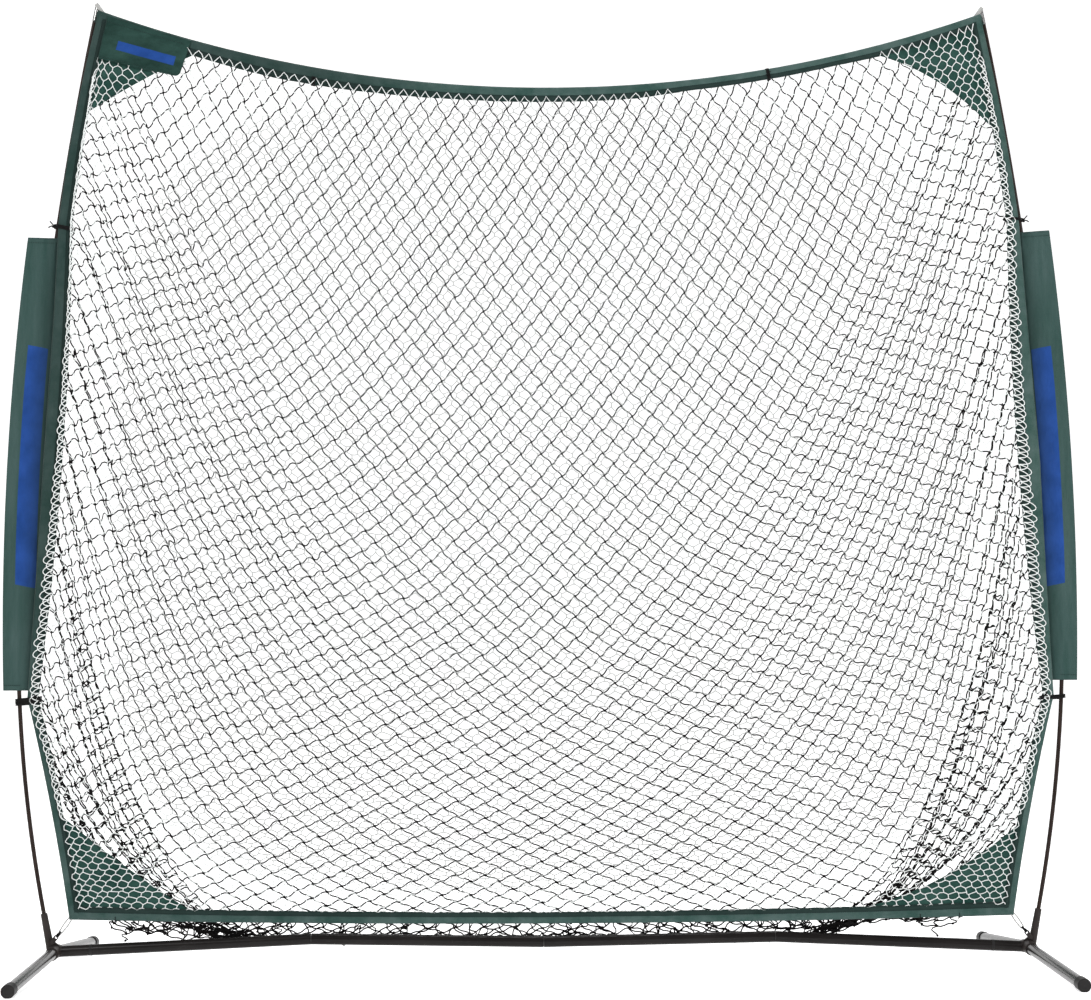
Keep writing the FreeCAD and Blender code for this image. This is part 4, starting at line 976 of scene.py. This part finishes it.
def buildLacing():
    cfg = lacing
    source = np.random.default_rng(29)
    points, edges = [], []
    for side, reach in ((-1, cfg["left"]), (1, cfg["right"])):
        low, high = reach[0][0], reach[-1][0]
        for strand in (0, 1):
            turns = int((high - low) / cfg["pitch"])
            jitter = source.normal(0, 1, (turns + 1, 3))
            first = len(points)
            for k in range(turns * cfg["steps"] + 1):
                turn, part = divmod(k, cfg["steps"])
                part /= cfg["steps"]
                rough = jitter[turn] * (1 - part) + jitter[min(turn + 1, turns)] * part
                swing = 0.5 - 0.5 * math.cos(2 * math.pi * part)
                z = high - (k / cfg["steps"] + strand / 2) * cfg["pitch"]
                out = byPlace(reach, z) * (1 + cfg["loose"] * rough[0])
                out = out * (cfg["shorter"] if strand else 1.0) * swing ** 0.8
                bulge = math.sin(2 * math.pi * part) * cfg["pitch"] * cfg["bulge"]
                z += bulge - out * cfg["slant"] + rough[1] * cfg["rough"][0]
                y = cfg["front"] - cfg["strandStep"] * strand + rough[2] * cfg["rough"][1]
                points.append((side * (float(atSide(z)) - cfg["under"] + out), y, z))
            edges += pathEdges(first, len(points))
    twined("front_net_lacing", points, edges, cfg["radius"], 5, "white_twine")


buildLacing()
print("stage: lacing")

# hems
hemMake = {
    # how far the side hems stand out from their lines, by height
    "outward": {"left_hem": ((0.6, 0.0), (1.16, 0.007), (1.5, 0.006), (1.72, 0.008), (1.95, 0.006),
                             (2.2, 0.0)),
                "right_hem": ((0.6, 0.0), (1.16, 0.015), (1.72, 0.005), (1.95, 0.003), (2.2, 0.0))},
    "step": 0.009, "pucker": 0.0006, "waves": (0.031, 0.052, 0.083, 0.21),
    # the tube's own swelling: share of the pucker, waves, and how much of it goes along and across
    "swell": 1.4, "swellWaves": (0.017, 0.043, 0.12), "fuller": 180, "uneven": 0.25,
    "lengths": (2.1, 2.14),    # about, of the top and bottom hems
    # lean of a side hem's ends to the corner, and their length
    "miters": {0: (-1.1, 0.72), -1: (0.8, 0.8)},
    # stitch rows, depth as share of the thickness
    "rows": (("seam", 0.38), ("edge", 0.56)), "proud": 0.0005,
    # half a section: share of the width in from the outer edge, share of half the thickness
    "front": ((0.03, 0.65), (0.10, 1.05), (0.27, 1.25), (0.44, 1.08), (0.54, 0.62), (0.60, 0.38),
              (0.66, 0.60), (0.80, 0.70), (0.93, 0.55), (1.00, 0.15)),
    "back": ((0.92, 0.60), (0.62, 0.85), (0.30, 1.0), (0.08, 0.80), (0.02, 0.45)),
}


def hemSection():
    # once round: a full tube along the outer edge, a seam, then a flat strip
    front = [(share, -depth) for share, depth in hemMake["front"]]
    back = [(1.0, 0.15), *hemMake["back"]]
    return [(0.0, 0.0), *front, *back]


def hemShape(name, line):
    # widths along a hem, and how far its outer edge stands out from the line
    if name not in hemMake["outward"]:
        widths = hem["topWidths" if name == "top_hem" else "lowWidths"]
        return byPlace(widths, line[:, 0]), np.zeros(len(line))
    out = byPlace(hemMake["outward"][name], line[:, 1])
    return hem["width"] + hem["fullness"] * midHem(line[:, 1]) + out, out


def hemPiece(name, line, inward, seed):
    # line: outer edge points (x, z); inward: unit vectors to the inner edge at the same points
    widths, out = hemShape(name, line)
    section = hemSection()
    middle = (hem["front"] + hem["back"]) / 2
    run = np.concatenate([[0], np.cumsum(np.linalg.norm(np.diff(line, axis=0), axis=1))])
    ripple = softNoise(seed, hemMake["pucker"], hemMake["waves"])
    swell = softNoise(seed + 1, hemMake["pucker"] * hemMake["swell"], hemMake["swellWaves"])
    points, across = [], []
    for k in range(len(line)):
        for share, depth in section:
            inset = share * widths[k] - out[k] + ripple(run[k]) * (0.4 + share)
            full = depth * hem["thick"] / 2 * (1 + swell(run[k]) * hemMake["fuller"])
            full += swell(run[k] * 0.5 + share * 0.025) * hemMake["uneven"]
            x, z = line[k] + inward[k] * inset
            points.append((x, middle + full, z))
            across.append((share, run[k]))
    piece = smooth(outward(meshObject(name + "_cloth", points, ringFaces(len(line), len(section)), hemCloth)))
    cut = piece.data.uv_layers.new(name="cut")
    for loop in piece.data.loops:
        cut.data[loop.index].uv = across[loop.vertex_index]
    finishPiece(piece, "frame", "green_cloth", name)


def normalsOf(line, towards):
    ahead = np.gradient(line, axis=0)
    ahead /= np.linalg.norm(ahead, axis=1)[:, None]
    turned = np.stack([ahead[:, 1], -ahead[:, 0]], axis=1)
    flip = np.sign((turned * (towards - line)).sum(axis=1))
    return turned * flip[:, None]


def buildHems():
    step = hemMake["step"]
    centre = np.array([0.0, 1.15])
    topX = np.linspace(-hem["topCorner"][0], hem["topCorner"][0], int(hemMake["lengths"][0] / step))
    lowX = np.linspace(-hem["lowCorner"][0], hem["lowCorner"][0], int(hemMake["lengths"][1] / step))
    top = np.stack([topX, topEdge(topX)], axis=1)
    low = np.stack([lowX, lowEdge(lowX)], axis=1)
    right = sidePath(step)
    left = right * np.array([-1, 1])
    lines = {"top_hem": (top, 31), "bottom_hem": (low, 37), "right_hem": (right, 41), "left_hem": (left, 43)}
    for name, (line, seed) in lines.items():
        inward = normalsOf(line, centre)
        if name in hemMake["outward"]:
            for place, (lean, share) in hemMake["miters"].items():
                inward[place] += (0, lean)
                inward[place] /= np.linalg.norm(inward[place]) * share
        hemPiece(name, line, inward, seed)
        widths, out = hemShape(name, line)
        for row, depth in hemMake["rows"]:
            front = (hem["front"] + hem["back"]) / 2 - hem["thick"] / 2 * depth - hemMake["proud"]
            inset = widths * hem[row] - out
            path = [(p[0] + n[0] * d, front, p[1] + n[1] * d) for p, n, d in zip(line, inward, inset)]
            stitchRow("%s_%s_stitches" % (name, row), path[1:-1], "frame", "green_cloth")


buildHems()
print("stage: hems")

# corner patches: first, middle and last point of the inner edge, from the top or bottom hem to the side
patches = {
    "left_top_patch": ((-0.780, 2.132), (-0.930, 2.058), (-1.085, 1.962)),
    "right_top_patch": ((0.735, 2.134), (0.925, 2.065), (1.085, 1.920)),
    "left_bottom_patch": ((-0.790, 0.127), (-0.965, 0.245), (-1.118, 0.368)),
    "right_bottom_patch": ((0.620, 0.118), (0.875, 0.182), (1.118, 0.345)),
}
patchMake = {
    "points": 49, "layers": 15, "thick": 0.0006, "level": -0.0070,
    # how far in from the hem's outer edges the patch's corner and edges lie, at the top and at the bottom
    "cornerIn": {True: 0.020, False: 0.022}, "edgeIn": {True: 0.018, False: 0.020},
    "sideIn": 0.018, "innerIn": 0.014, "seamIn": 0.03,
    "ripple": 0.0016, "waves": (0.05, 0.09, 0.16), "relief": 0.2,
    "allowance": 0.008,    # for the seam, all round
}


def bezierThrough(first, middle, last, t):
    control = 2 * np.array(middle) - 0.5 * (np.array(first) + np.array(last))
    t = t[:, None]
    return (1 - t) ** 2 * np.array(first) + 2 * t * (1 - t) * control + t ** 2 * np.array(last)


def patchEdges(first, middle, last):
    # the inner edge, and the far edge under the hem: along the top or bottom, then down the side
    side, upper = (-1 if last[0] < 0 else 1), last[1] > 1

    def hemIn(x, inset):
        return topEdge(x) - inset if upper else lowEdge(x) + inset

    t = np.linspace(0, 1, patchMake["points"])
    inner = bezierThrough(first, middle, last, t)
    edgeIn, sideIn = patchMake["edgeIn"][upper], patchMake["sideIn"]
    cornerX = hem["topCorner" if upper else "lowCorner"][0] - patchMake["cornerIn"][upper]
    cornerZ = float(hemIn(cornerX, edgeIn))
    outer = []
    for share in t:
        if share < 0.5:
            x = first[0] + (side * cornerX - first[0]) * share * 2
            z = float(hemIn(x, edgeIn))
        else:
            z = cornerZ + (last[1] - cornerZ) * (share - 0.5) * 2
            x = side * (float(sideEdge(z) - sideIn) if share > 0.5 else cornerX)
        outer.append((x, z))
    bound = np.minimum if upper else np.maximum
    inner[:, 1] = bound(inner[:, 1], hemIn(inner[:, 0], patchMake["innerIn"]))
    reach = np.abs(sideEdge(inner[:, 1]) - sideIn)
    inner[:, 0] = np.clip(inner[:, 0], -reach, reach)
    return inner, np.array(outer)


def buildPatch(name, first, middle, last):
    inner, outer = patchEdges(first, middle, last)
    layers, level = patchMake["layers"], patchMake["level"]
    ripple = softNoise(sum(map(ord, name)), patchMake["ripple"], patchMake["waves"])
    points = []
    for near, far in zip(inner, outer):
        for s in (m / (layers - 1) for m in range(layers)):
            x, z = near * (1 - s) + far * s
            bulge = ripple(x * 0.8 + z * 1.3) * math.sin(math.pi * min(1, s * 1.2)) * 0.5
            points.append((x, level + abs(bulge) * patchMake["relief"], z))
    piece = smooth(outward(meshObject(name + "_cloth", points, sheetFaces(len(inner), layers), patchCloth)))
    addWall(piece, patchMake["thick"])
    area = sum(face.area for face in piece.data.polygons)
    finishPiece(piece, "frame", "green_cloth", name)
    chord = unit(np.array(last) - np.array(first))
    spread = np.array([(x, z) for x, y, z in points])
    allowance = patchMake["allowance"]
    cut = [float(np.ptp(spread @ d)) + 2 * allowance for d in (chord, np.array([-chord[1], chord[0]]))]
    area += allowance * 2 * cut[0]
    seam = [p + (q - p) * patchMake["seamIn"] for p, q in zip(inner, outer)]
    stitchRow(name + "_stitches", [(x, level - 0.0009, z) for x, z in seam], "frame", "green_cloth")


for name, outline in patches.items():
    buildPatch(name, *outline)
print("stage: corner patches")

# banners
banner = {
    "low": 0.638, "high": 1.686, "rows": 106, "wall": 0.0010,
    "edge": ((1.2335, 0.638), (1.2370, 1.066), (1.1960, 1.686)),
    "poleRoom": 0.0066, "edgeRound": 0.0016, "fold": 0.0024, "lap": 0.002, "tuck": 0.001,
    "longFolds": (0.41, 0.73, 1.3), "crossFolds": (0.12, 0.19, 0.33), "innerFold": 0.35,
    "seed": {"left": 60, "right": 70}, "turnings": 0.012, "seamIn": 0.012, "proud": 0.0005,
    "unseen": -0.02,    # the map's U on the back and the inside
    "arcSteps": (6, 2, 4, 8), "runSteps": (8, 18, 18, 8),
    # the whole banner, and its top's outer corner
    "raised": {"left": (-0.008, 0.003), "right": (0.010, 0.007)},
}


def bannerEdge(z):
    # circle through three points, solved for X at this height
    (ax, az), (bx, bz), (cx, cz) = banner["edge"]
    a, b, c = ax * ax + az * az, bx * bx + bz * bz, cx * cx + cz * cz
    d = 2 * (ax * (bz - cz) + bx * (cz - az) + cx * (az - bz))
    ux = (a * (bz - cz) + b * (cz - az) + c * (az - bz)) / d
    uz = (a * (cx - bx) + b * (ax - cx) + c * (bx - ax)) / d
    radius = math.hypot(ax - ux, az - uz)
    return ux + math.sqrt(radius ** 2 - (z - uz) ** 2)


def bannerRing(z, side, shrink, wave):
    # once round the sleeve: inner edge, pole, outer edge and pole again
    edge = bannerEdge(z) - banner["edgeRound"]
    small, big = banner["edgeRound"] - shrink, banner["poleRoom"] - shrink
    tucked = (float(sideEdge(z)) - banner["lap"] + banner["edgeRound"], banner["tuck"])
    pole = (poleX(z), 0.0)
    circles = [(*tucked, small), (*pole, big), (edge, 0.0, small), (*pole, big)]
    normals = []
    for k, (x, y, r) in enumerate(circles):
        nx, ny, nr = circles[(k + 1) % 4]
        normals.append(math.atan2(ny - y, nx - x) - math.acos((r - nr) / math.hypot(nx - x, ny - y)))
    ring = []
    for k, (x, y, r) in enumerate(circles):
        first, last = normals[k - 1], normals[k]
        if last < first:
            last += 2 * math.pi
        arc = banner["arcSteps"][k]
        for m in range(arc + 1):
            angle = first + (last - first) * m / arc
            ring.append((x + r * math.cos(angle), y + r * math.sin(angle)))
        nx, ny, nr = circles[(k + 1) % 4]
        ahead = (nx + nr * math.cos(last), ny + nr * math.sin(last))
        here, steps = ring[-1], banner["runSteps"][k]
        for m in range(1, steps):
            t = m / steps
            fold = wave(z, t) if k in (1, 2) else wave(z, t) * banner["innerFold"]
            ring.append((here[0] + (ahead[0] - here[0]) * t, here[1] + (ahead[1] - here[1]) * t + fold))
    front = sum(banner["arcSteps"][:2] + banner["runSteps"][:2])
    return [(side * x, y, z) for x, y in ring], [edge + small - x for x, y in ring], front


def buildBanner(word, side):
    seed = banner["seed"][word]
    longWave = softNoise(seed, banner["fold"], banner["longFolds"])
    crossWave = softNoise(seed + 1, banner["fold"] * 0.7, banner["crossFolds"])

    def wave(z, s):
        middle = math.sin(math.pi * s)
        return middle * (longWave(z + s * 0.11) + 0.5 * crossWave(z * 1.1 - s * 0.2)) * 0.8

    lift, slant = banner["raised"][word]
    heights = np.linspace(banner["low"], banner["high"], banner["rows"]) + lift

    def slanted(ring, z):
        # the top edge rises towards the outer corner
        high = (z - heights[0]) / (heights[-1] - heights[0])
        near, far = min(abs(x) for x, y, _ in ring), max(abs(x) for x, y, _ in ring)
        return [(x, y, z + slant * high ** 4 * (abs(x) - near) / (far - near)) for x, y, _ in ring]

    outer, inner, inFrom = [], [], []
    for z in heights:
        ring, reach, front = bannerRing(z, side, 0.0, wave)
        outer.extend(slanted(ring, z))
        inFrom.extend(r if k < front else banner["unseen"] for k, r in enumerate(reach))
        inner.extend(slanted(bannerRing(z, side, banner["wall"], wave)[0], z))
    around = len(ring)
    faces = ringFaces(len(heights), around, caps=False)
    shift = len(outer)
    inside = ringFaces(len(heights), around, caps=False)
    faces += [tuple(shift + k for k in reversed(face)) for face in inside]
    for row in (0, len(heights) - 1):
        for m in range(around):
            n = (m + 1) % around
            a, b = row * around + m, row * around + n
            faces.append((a, b, shift + b, shift + a))
    piece = meshObject(word + "_banner_cloth", outer + inner, faces, finishes["banner_cloth"])
    smooth(outward(piece))
    cut = piece.data.uv_layers.new(name="cut")
    for loop in piece.data.loops:
        k = loop.vertex_index
        cut.data[loop.index].uv = (inFrom[k], outer[k][2]) if k < shift else (banner["unseen"], 0)
    finishPiece(piece, "frame", "banner_cloth", word + "_banner")
    start = banner["arcSteps"][0] + banner["runSteps"][0]
    for tag, z in (("low", heights[0] + banner["seamIn"]), ("high", heights[-1] - banner["seamIn"])):
        ring = slanted(bannerRing(z, side, -banner["proud"], wave)[0], z)
        stitchRow("%s_banner_%s_stitches" % (word, tag), ring[start:front], "frame", "banner_cloth")


for word, side in (("left", -1), ("right", 1)):
    buildBanner(word, side)
print("stage: banners")

# label flap
flap = {
    "corner": (-1.018, 2.210), "slope": 17.4, "length": 0.206,
    "leftHeight": 0.107, "rightHeight": 0.092,
    "leftLean": 0.11, "rightLean": 0.0,    # its sides lean this much along the top edge
    "front": -0.0138, "thick": 0.0013, "round": 0.012, "columns": 48, "rows": 27,
    "lift": 0.0034, "crease": 0.0007, "fineCrease": 0.6,
    "creases": ((17, 9, 0), (6, -7, 1.0), (31, -14, 2.0)),    # waves along and down, and where they start
    "seams": (("top", 0.035), ("second", 0.15), ("low", 0.955)), "proud": 0.0004,
    "seamReach": (0.02, 0.93, 40),    # first and last share of its length, points
}


def flapPoint(a, d):
    # a runs 0 to 1 along the top edge, d 0 to 1 down the flap
    slope = math.radians(flap["slope"])
    along = np.array([math.cos(slope), -math.sin(slope)])
    down = np.array([-math.sin(slope), -math.cos(slope)])
    left = (down + along * flap["leftLean"]) * flap["leftHeight"]
    right = (down + along * flap["rightLean"]) * flap["rightHeight"]
    return np.array(flap["corner"]) + along * flap["length"] * a + (left * (1 - a) + right * a) * d


def flapLift(a, d):
    # the free edge stands off a little in two soft waves, with slanted creases above it
    wave = flap["lift"] * d ** 2 * (0.35 + 0.65 * math.sin(a * 4.4 + 0.5) ** 2)
    first, second, third = (math.sin(a * across + d * down + turn) for across, down, turn in flap["creases"])
    crease = first * second + flap["fineCrease"] * third
    return wave + flap["crease"] * (crease + 1.6) * math.sin(math.pi * min(1, d * 1.1)) ** 0.5


def buildFlap():
    columns, rows = flap["columns"], flap["rows"]
    middle = flap["front"] + flap["thick"] / 2
    roundA, roundD = flap["round"] / flap["length"], flap["round"] / flap["rightHeight"]
    points = []
    for j in range(rows):
        for i in range(columns):
            a, d = i / (columns - 1), j / (rows - 1)
            # the lower right corner is round: its last points are drawn in
            cornerA, cornerD = (a - 1 + roundA) / roundA, (d - 1 + roundD) / roundD
            if cornerA > 0 and cornerD > 0:
                pull = max(cornerA, cornerD) / math.hypot(cornerA, cornerD)
                a, d = 1 - roundA + cornerA * pull * roundA, 1 - roundD + cornerD * pull * roundD
            x, z = flapPoint(a, d)
            points.append((x, middle - flapLift(a, d), z))
    piece = smooth(outward(meshObject("label_flap_cloth", points, sheetFaces(rows, columns), flapCloth)))
    addWall(piece, flap["thick"])
    finishPiece(piece, "flap_body", "green_cloth", "label_flap")
    for name, d in flap["seams"]:
        seam = []
        for a in np.linspace(*flap["seamReach"]):
            x, z = flapPoint(a, d)
            seam.append((x, flap["front"] - flap["proud"] - flapLift(a, d), z))
        stitchRow("label_flap_%s_stitches" % name, seam, "flap_body", "green_cloth")


buildFlap()
print("stage: label flap")

# straps and ties
cord = {
    "perTurn": 30, "from": 0.6, "square": 0.6,    # a winding's points, first angle and square corners
    "knotPoints": 43, "tailPoints": 8, "sides": 7,
}
loop = {"width": 0.009, "thick": 0.0012, "length": 0.024, "lean": 36.0, "points": 56, "rough": 0.05}
cornerTie = {
    "heading": (-0.64, 0.0, 0.768),               # from a right lug to the net's corner
    "radius": 0.0013, "turns": 2, "depth": 0.0048,
    "eyeSpacing": 0.015, "ends": (0.0016, 0.0010),    # lug hole to strap eye, then each end's own offset
    "knotOut": 0.0008, "knotSize": 0.0030, "knotTurn": 0.4,
    # way on the right, length and droop
    "tails": (((-0.5, -0.5, 0.8), 0.011, 0.002), ((0.9, -0.4, 0.1), 0.009, 0.004)),
}
strap = {
    "width": 0.0046, "thick": 0.0026, "fold": 0.0034, "tail": 0.005, "bow": 0.0012,
    "points": 12, "foldPoints": 15,
}
proud = 0.0003    # ties stand off the hem's front by this
poleTie = {
    "radius": 0.0015, "around": 0.0062, "past": 0.003, "pitch": 2.1,
    "knotSize": 0.0042, "knotTurn": 0.7,
    # way outwards, length and droop; the second one's way out is the last number of high or low
    "tails": (((0.8, -0.3, 1.0), 0.016, 0.001), ((1.0, -0.3, 0.3), 0.014, 0.008)),
    # knot's share of the half width, its Y, and which way its second tail runs
    "high": (1, -0.004, 1.0), "low": (-0.86, hem["front"] - proud - 0.0015, -1.0),
    # side, height, turns, tilt
    "each": ((-1, 1.702, 3, 12.0), (1, 1.728, 2, -6.0), (-1, 0.606, 5, -5.0), (1, 0.609, 3, 3.0)),
}
netTie = {
    "radius": 0.0009, "back": 0.0027, "pitch": 2.3, "knotSize": 0.0023,
    # knot's shares of the half width and of the half depth, at the top and at the bottom
    "knotAt": {True: (0.2, 1.0), False: (-0.96, 0.4)},
    "tails": (((0.7, -0.5, 0.5), 0.009, 0.005), ((-0.6, -0.5, -0.4), 0.008, 0.004)),
    # place along the hem, top or bottom, first and last share of its width, turns
    "each": ((-0.535, True, 0.56, 1.0, 5), (0.535, True, 0.0, 1.0, 4), (-0.968, False, 0.0, 0.3, 1),
             (0.858, False, 0.0, 0.3, 1), (0.948, False, 0.0, 0.3, 1)),
}


def winding(centre, first, second, halves, turns, pitch):
    # cord wound round a box with round corners, whose sides lie along first and second
    first, second = unit(first), unit(second)
    angle = np.linspace(0, 2 * math.pi * turns, cord["perTurn"] * turns + 1) + cord["from"]
    a, b = (np.sign(wave) * np.abs(wave) ** cord["square"] * half
            for wave, half in zip((np.cos(angle), np.sin(angle)), halves))
    lift = ((angle - cord["from"]) / (2 * math.pi) - turns / 2) * pitch
    ring = np.array(centre) + np.outer(a, first) + np.outer(b, second)
    return ring + np.outer(lift, np.cross(first, second))


def knotPath(centre, size, turn):
    # overhand knot pulled tight
    t = np.linspace(0, 2 * math.pi, cord["knotPoints"])
    flat = np.stack([np.sin(t) + 2 * np.sin(2 * t), -np.sin(3 * t), np.cos(t) - 2 * np.cos(2 * t)], axis=1)
    c, d = math.cos(turn), math.sin(turn)
    return np.array(centre) + flat @ np.array([(c, 0, d), (0, 1, 0), (-d, 0, c)]) * size / 3


def tailPath(start, way, length, droop):
    t = np.linspace(0, 1, cord["tailPoints"])[:, None]
    return np.array(start) + unit(way) * length * t + np.array((0, 0, -droop)) * t ** 2


def lashing(name, paths, radius, replaced):
    points, edges = [], []
    for path in paths:
        edges += pathEdges(len(points), len(points) + len(path))
        points += list(path)
    twined(name, points, edges, radius, cord["sides"], "black_cord", replaced)


def ribbon(name, path, wide, made, closed, replaced):
    # flat webbing whose width lies along wide
    path, wide = np.array(path), unit(wide)
    width, thick = made["width"], made["thick"]
    ahead = np.roll(path, -1, axis=0) - np.roll(path, 1, axis=0) if closed else np.gradient(path, axis=0)
    out = np.cross(ahead, wide)
    out /= np.linalg.norm(out, axis=1)[:, None]
    rim = thick * 0.35
    half = [(-width / 2, 0), (-width / 2 + rim, -thick / 2), (-width / 6, -thick / 2),
            (width / 6, -thick / 2), (width / 2 - rim, -thick / 2)]
    section = half + [(-a, -b) for a, b in half]
    points = [p + wide * a + o * b for p, o in zip(path, out) for a, b in section]
    faces = ringFaces(len(path), len(section), closed)
    piece = smooth(outward(meshObject(name, points, faces, finishes["white_webbing"])))
    finishPiece(piece, "frame", "white_webbing", replaced)


def buildTopLoop(word, side):
    low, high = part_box(word + "_top_loop")
    middle = (np.array(low) + np.array(high)) / 2
    lean = math.radians(loop["lean"])
    out = np.array((side * math.sin(lean), 0, math.cos(lean)))
    radius = (high[1] - low[1]) / 2 - loop["thick"] / 2
    path = []
    for k in range(loop["points"]):
        angle = 2 * math.pi * k / loop["points"]
        end = loop["length"] / 2 * (1 if math.cos(angle) >= 0 else -1)
        rough = 1 + loop["rough"] * math.sin(3 * angle + side)
        around = (0, radius * math.sin(angle) * rough, 0)
        path.append(middle + out * (end + radius * math.cos(angle) * rough) + around)
    ribbon(word + "_top_loop_webbing", path, (out[2], 0, -out[0]), loop, True, word + "_top_loop")


def buildCorner(word, side):
    along = unit(cornerTie["heading"]) * (side, 1, 1)
    across = np.array((along[2], 0, -along[0]))
    low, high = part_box(word + "_corner_cord")
    middle = (np.array(low) + np.array(high)) / 2
    middle[1] = (hem["front"] + hem["back"]) / 2
    reach, radius = cornerTie["eyeSpacing"] / 2, cornerTie["radius"]
    lugIn, strapOut = cornerTie["ends"]
    lugSide, strapSide = middle - along * (reach - lugIn), middle + along * (reach + strapOut)
    halves = (np.linalg.norm(strapSide - lugSide) / 2, cornerTie["depth"])
    ring = winding((lugSide + strapSide) / 2, along, (0, 1, 0), halves, cornerTie["turns"], radius * 2)
    knot = middle - (0, cornerTie["depth"] + cornerTie["knotOut"], 0)
    paths = [ring, knotPath(knot, cornerTie["knotSize"], cornerTie["knotTurn"] * side)]
    for (x, y, z), length, droop in cornerTie["tails"]:
        paths.append(tailPath(knot, (x * side, y, z), length, droop))
    lashing(word + "_corner_cord_winding", paths, radius, word + "_corner_cord")
    fold = strapSide + along * (strap["fold"] - radius - strap["thick"] / 2)
    corner = np.array((side * hem["lowCorner"][0], middle[1], hem["lowCorner"][1])) + along * strap["tail"]

    def leg(t, way):
        aside = across * (strap["fold"] + strap["bow"] * math.sin(math.pi * t))
        return corner + (fold - corner) * t + way * aside

    path = [leg(t, 1) for t in np.linspace(0, 1, strap["points"])]
    for angle in np.linspace(0, math.pi, strap["foldPoints"])[1:-1]:
        path.append(fold + (across * math.cos(angle) - along * math.sin(angle)) * strap["fold"])
    path += [leg(t, -1) for t in np.linspace(1, 0, strap["points"])]
    ribbon(word + "_corner_webbing", path, (0, 1, 0), strap, False, word + "_corner_strap")


def poleTiePaths(side, height, turns, tilt):
    radius, around = poleTie["radius"], poleTie["around"]
    inner = float(sideEdge(height)) - hem["width"] - poleTie["past"]
    outer = poleX(height) + around
    front = hem["front"] - proud
    centre = (side * (inner + outer) / 2, (front + around) / 2, height)
    turn = math.radians(tilt) * side
    halves = ((outer - inner) / 2 + radius, (around - front) / 2 + radius)
    across = (math.cos(turn), 0, math.sin(turn))
    paths = [winding(centre, across, (0, 1, 0), halves, turns, radius * poleTie["pitch"])]
    share, y, way = poleTie["high" if height > 1 else "low"]
    x = centre[0] + side * halves[0] * share
    knot = (x, y, height + math.sin(turn) * (x - centre[0]))
    paths.append(knotPath(knot, poleTie["knotSize"], poleTie["knotTurn"]))
    for ((x, y, z), length, droop), turned in zip(poleTie["tails"], (1, way)):
        paths.append(tailPath(knot, (side * x * turned, y, z), length, droop))
    return paths


def netTiePaths(x, top, first, last, turns):
    line = topEdge if top else lowEdge
    rise = float(line(x + 0.01) - line(x - 0.01)) / 0.02
    across = unit((-rise, 0, 1))
    width = float(byPlace(hem["topWidths" if top else "lowWidths"], x))
    z = float(line(x)) + (-1 if top else 1) * width * (first + last) / 2
    front, back, radius = hem["front"] - proud, netTie["back"], netTie["radius"]
    centre = np.array((x, (front + back) / 2, z))
    halves = (width * (last - first) / 2 + proud + radius, (back - front) / 2 + radius)
    ring = winding(centre, across, (0, 1, 0), halves, turns, radius * netTie["pitch"])
    aside, out = netTie["knotAt"][top]
    knot = centre + across * halves[0] * aside - (0, halves[1] * out, 0)
    tails = [tailPath(knot, *tail) for tail in netTie["tails"]]
    return [ring, knotPath(knot, netTie["knotSize"], x), *tails]


for word, side in (("left", -1), ("right", 1)):
    buildTopLoop(word, side)
    buildCorner(word, side)
for name, made, pathsOf, node in (("pole_tie_windings", poleTie, poleTiePaths, "pole_ties"),
                                  ("net_tie_windings", netTie, netTiePaths, "net_ties")):
    lashing(name, [path for tie in made["each"] for path in pathsOf(*tie)], made["radius"], node)
print("stage: straps and ties")

# floor, light
studio = {
    # half the floor's width, and its profile from front to back as Y and Z
    "reach": 14, "profile": ((-12, 0), (5, 0), (8, 0.6), (9.5, 9)),
    "floor": ((0.925, 0.925, 0.925), (0.94, 0.94, 0.94)), "glow": 0.62, "sky": 0.36,
    # place, target, size and power
    "lamps": {
        "key": ((-3.2, -4.2, 4.4), (0, 0, 1.0), 2.0, 150),
        "fill": ((3.8, -3.6, 2.6), (0, 0, 1.0), 1.8, 100),
        "over": ((0.0, 0.6, 5.2), (0, 0, 0.6), 2.4, 130),
    },
}


def makeStage():
    reach = studio["reach"]
    points = [(x, y, z) for y, z in studio["profile"] for x in (-reach, reach)]
    floor = smooth(meshObject("floor", points, sheetFaces(len(studio["profile"]), 2)))
    pale = Finish("paleFloor", (0.93, 0.93, 0.93), 0.9, Emission_Color=(1, 1, 1, 1),
                  Emission_Strength=studio["glow"])
    pale.colour(pale.between(pale.noise(2.0, 2.0), *studio["floor"]))
    floor.data.materials.append(pale.material)
    world = bpy.data.worlds.new("studio")
    world.use_nodes = True
    sky = world.node_tree.nodes["Background"]
    sky.inputs["Color"].default_value = (1, 1, 1, 1)
    sky.inputs["Strength"].default_value = studio["sky"]
    bpy.context.scene.world = world
    for name, (place, target, size, power) in studio["lamps"].items():
        lamp = bpy.data.objects.new(name, bpy.data.lights.new(name, "AREA"))
        lamp.data.energy = power
        lamp.data.size = size
        lamp.location = place
        lamp.rotation_euler = (Vector(target) - Vector(place)).to_track_quat("-Z", "Y").to_euler()
        bpy.context.scene.collection.objects.link(lamp)
    bpy.context.scene.view_settings.view_transform = "Standard"


makeStage()
print("stage: floor and light")
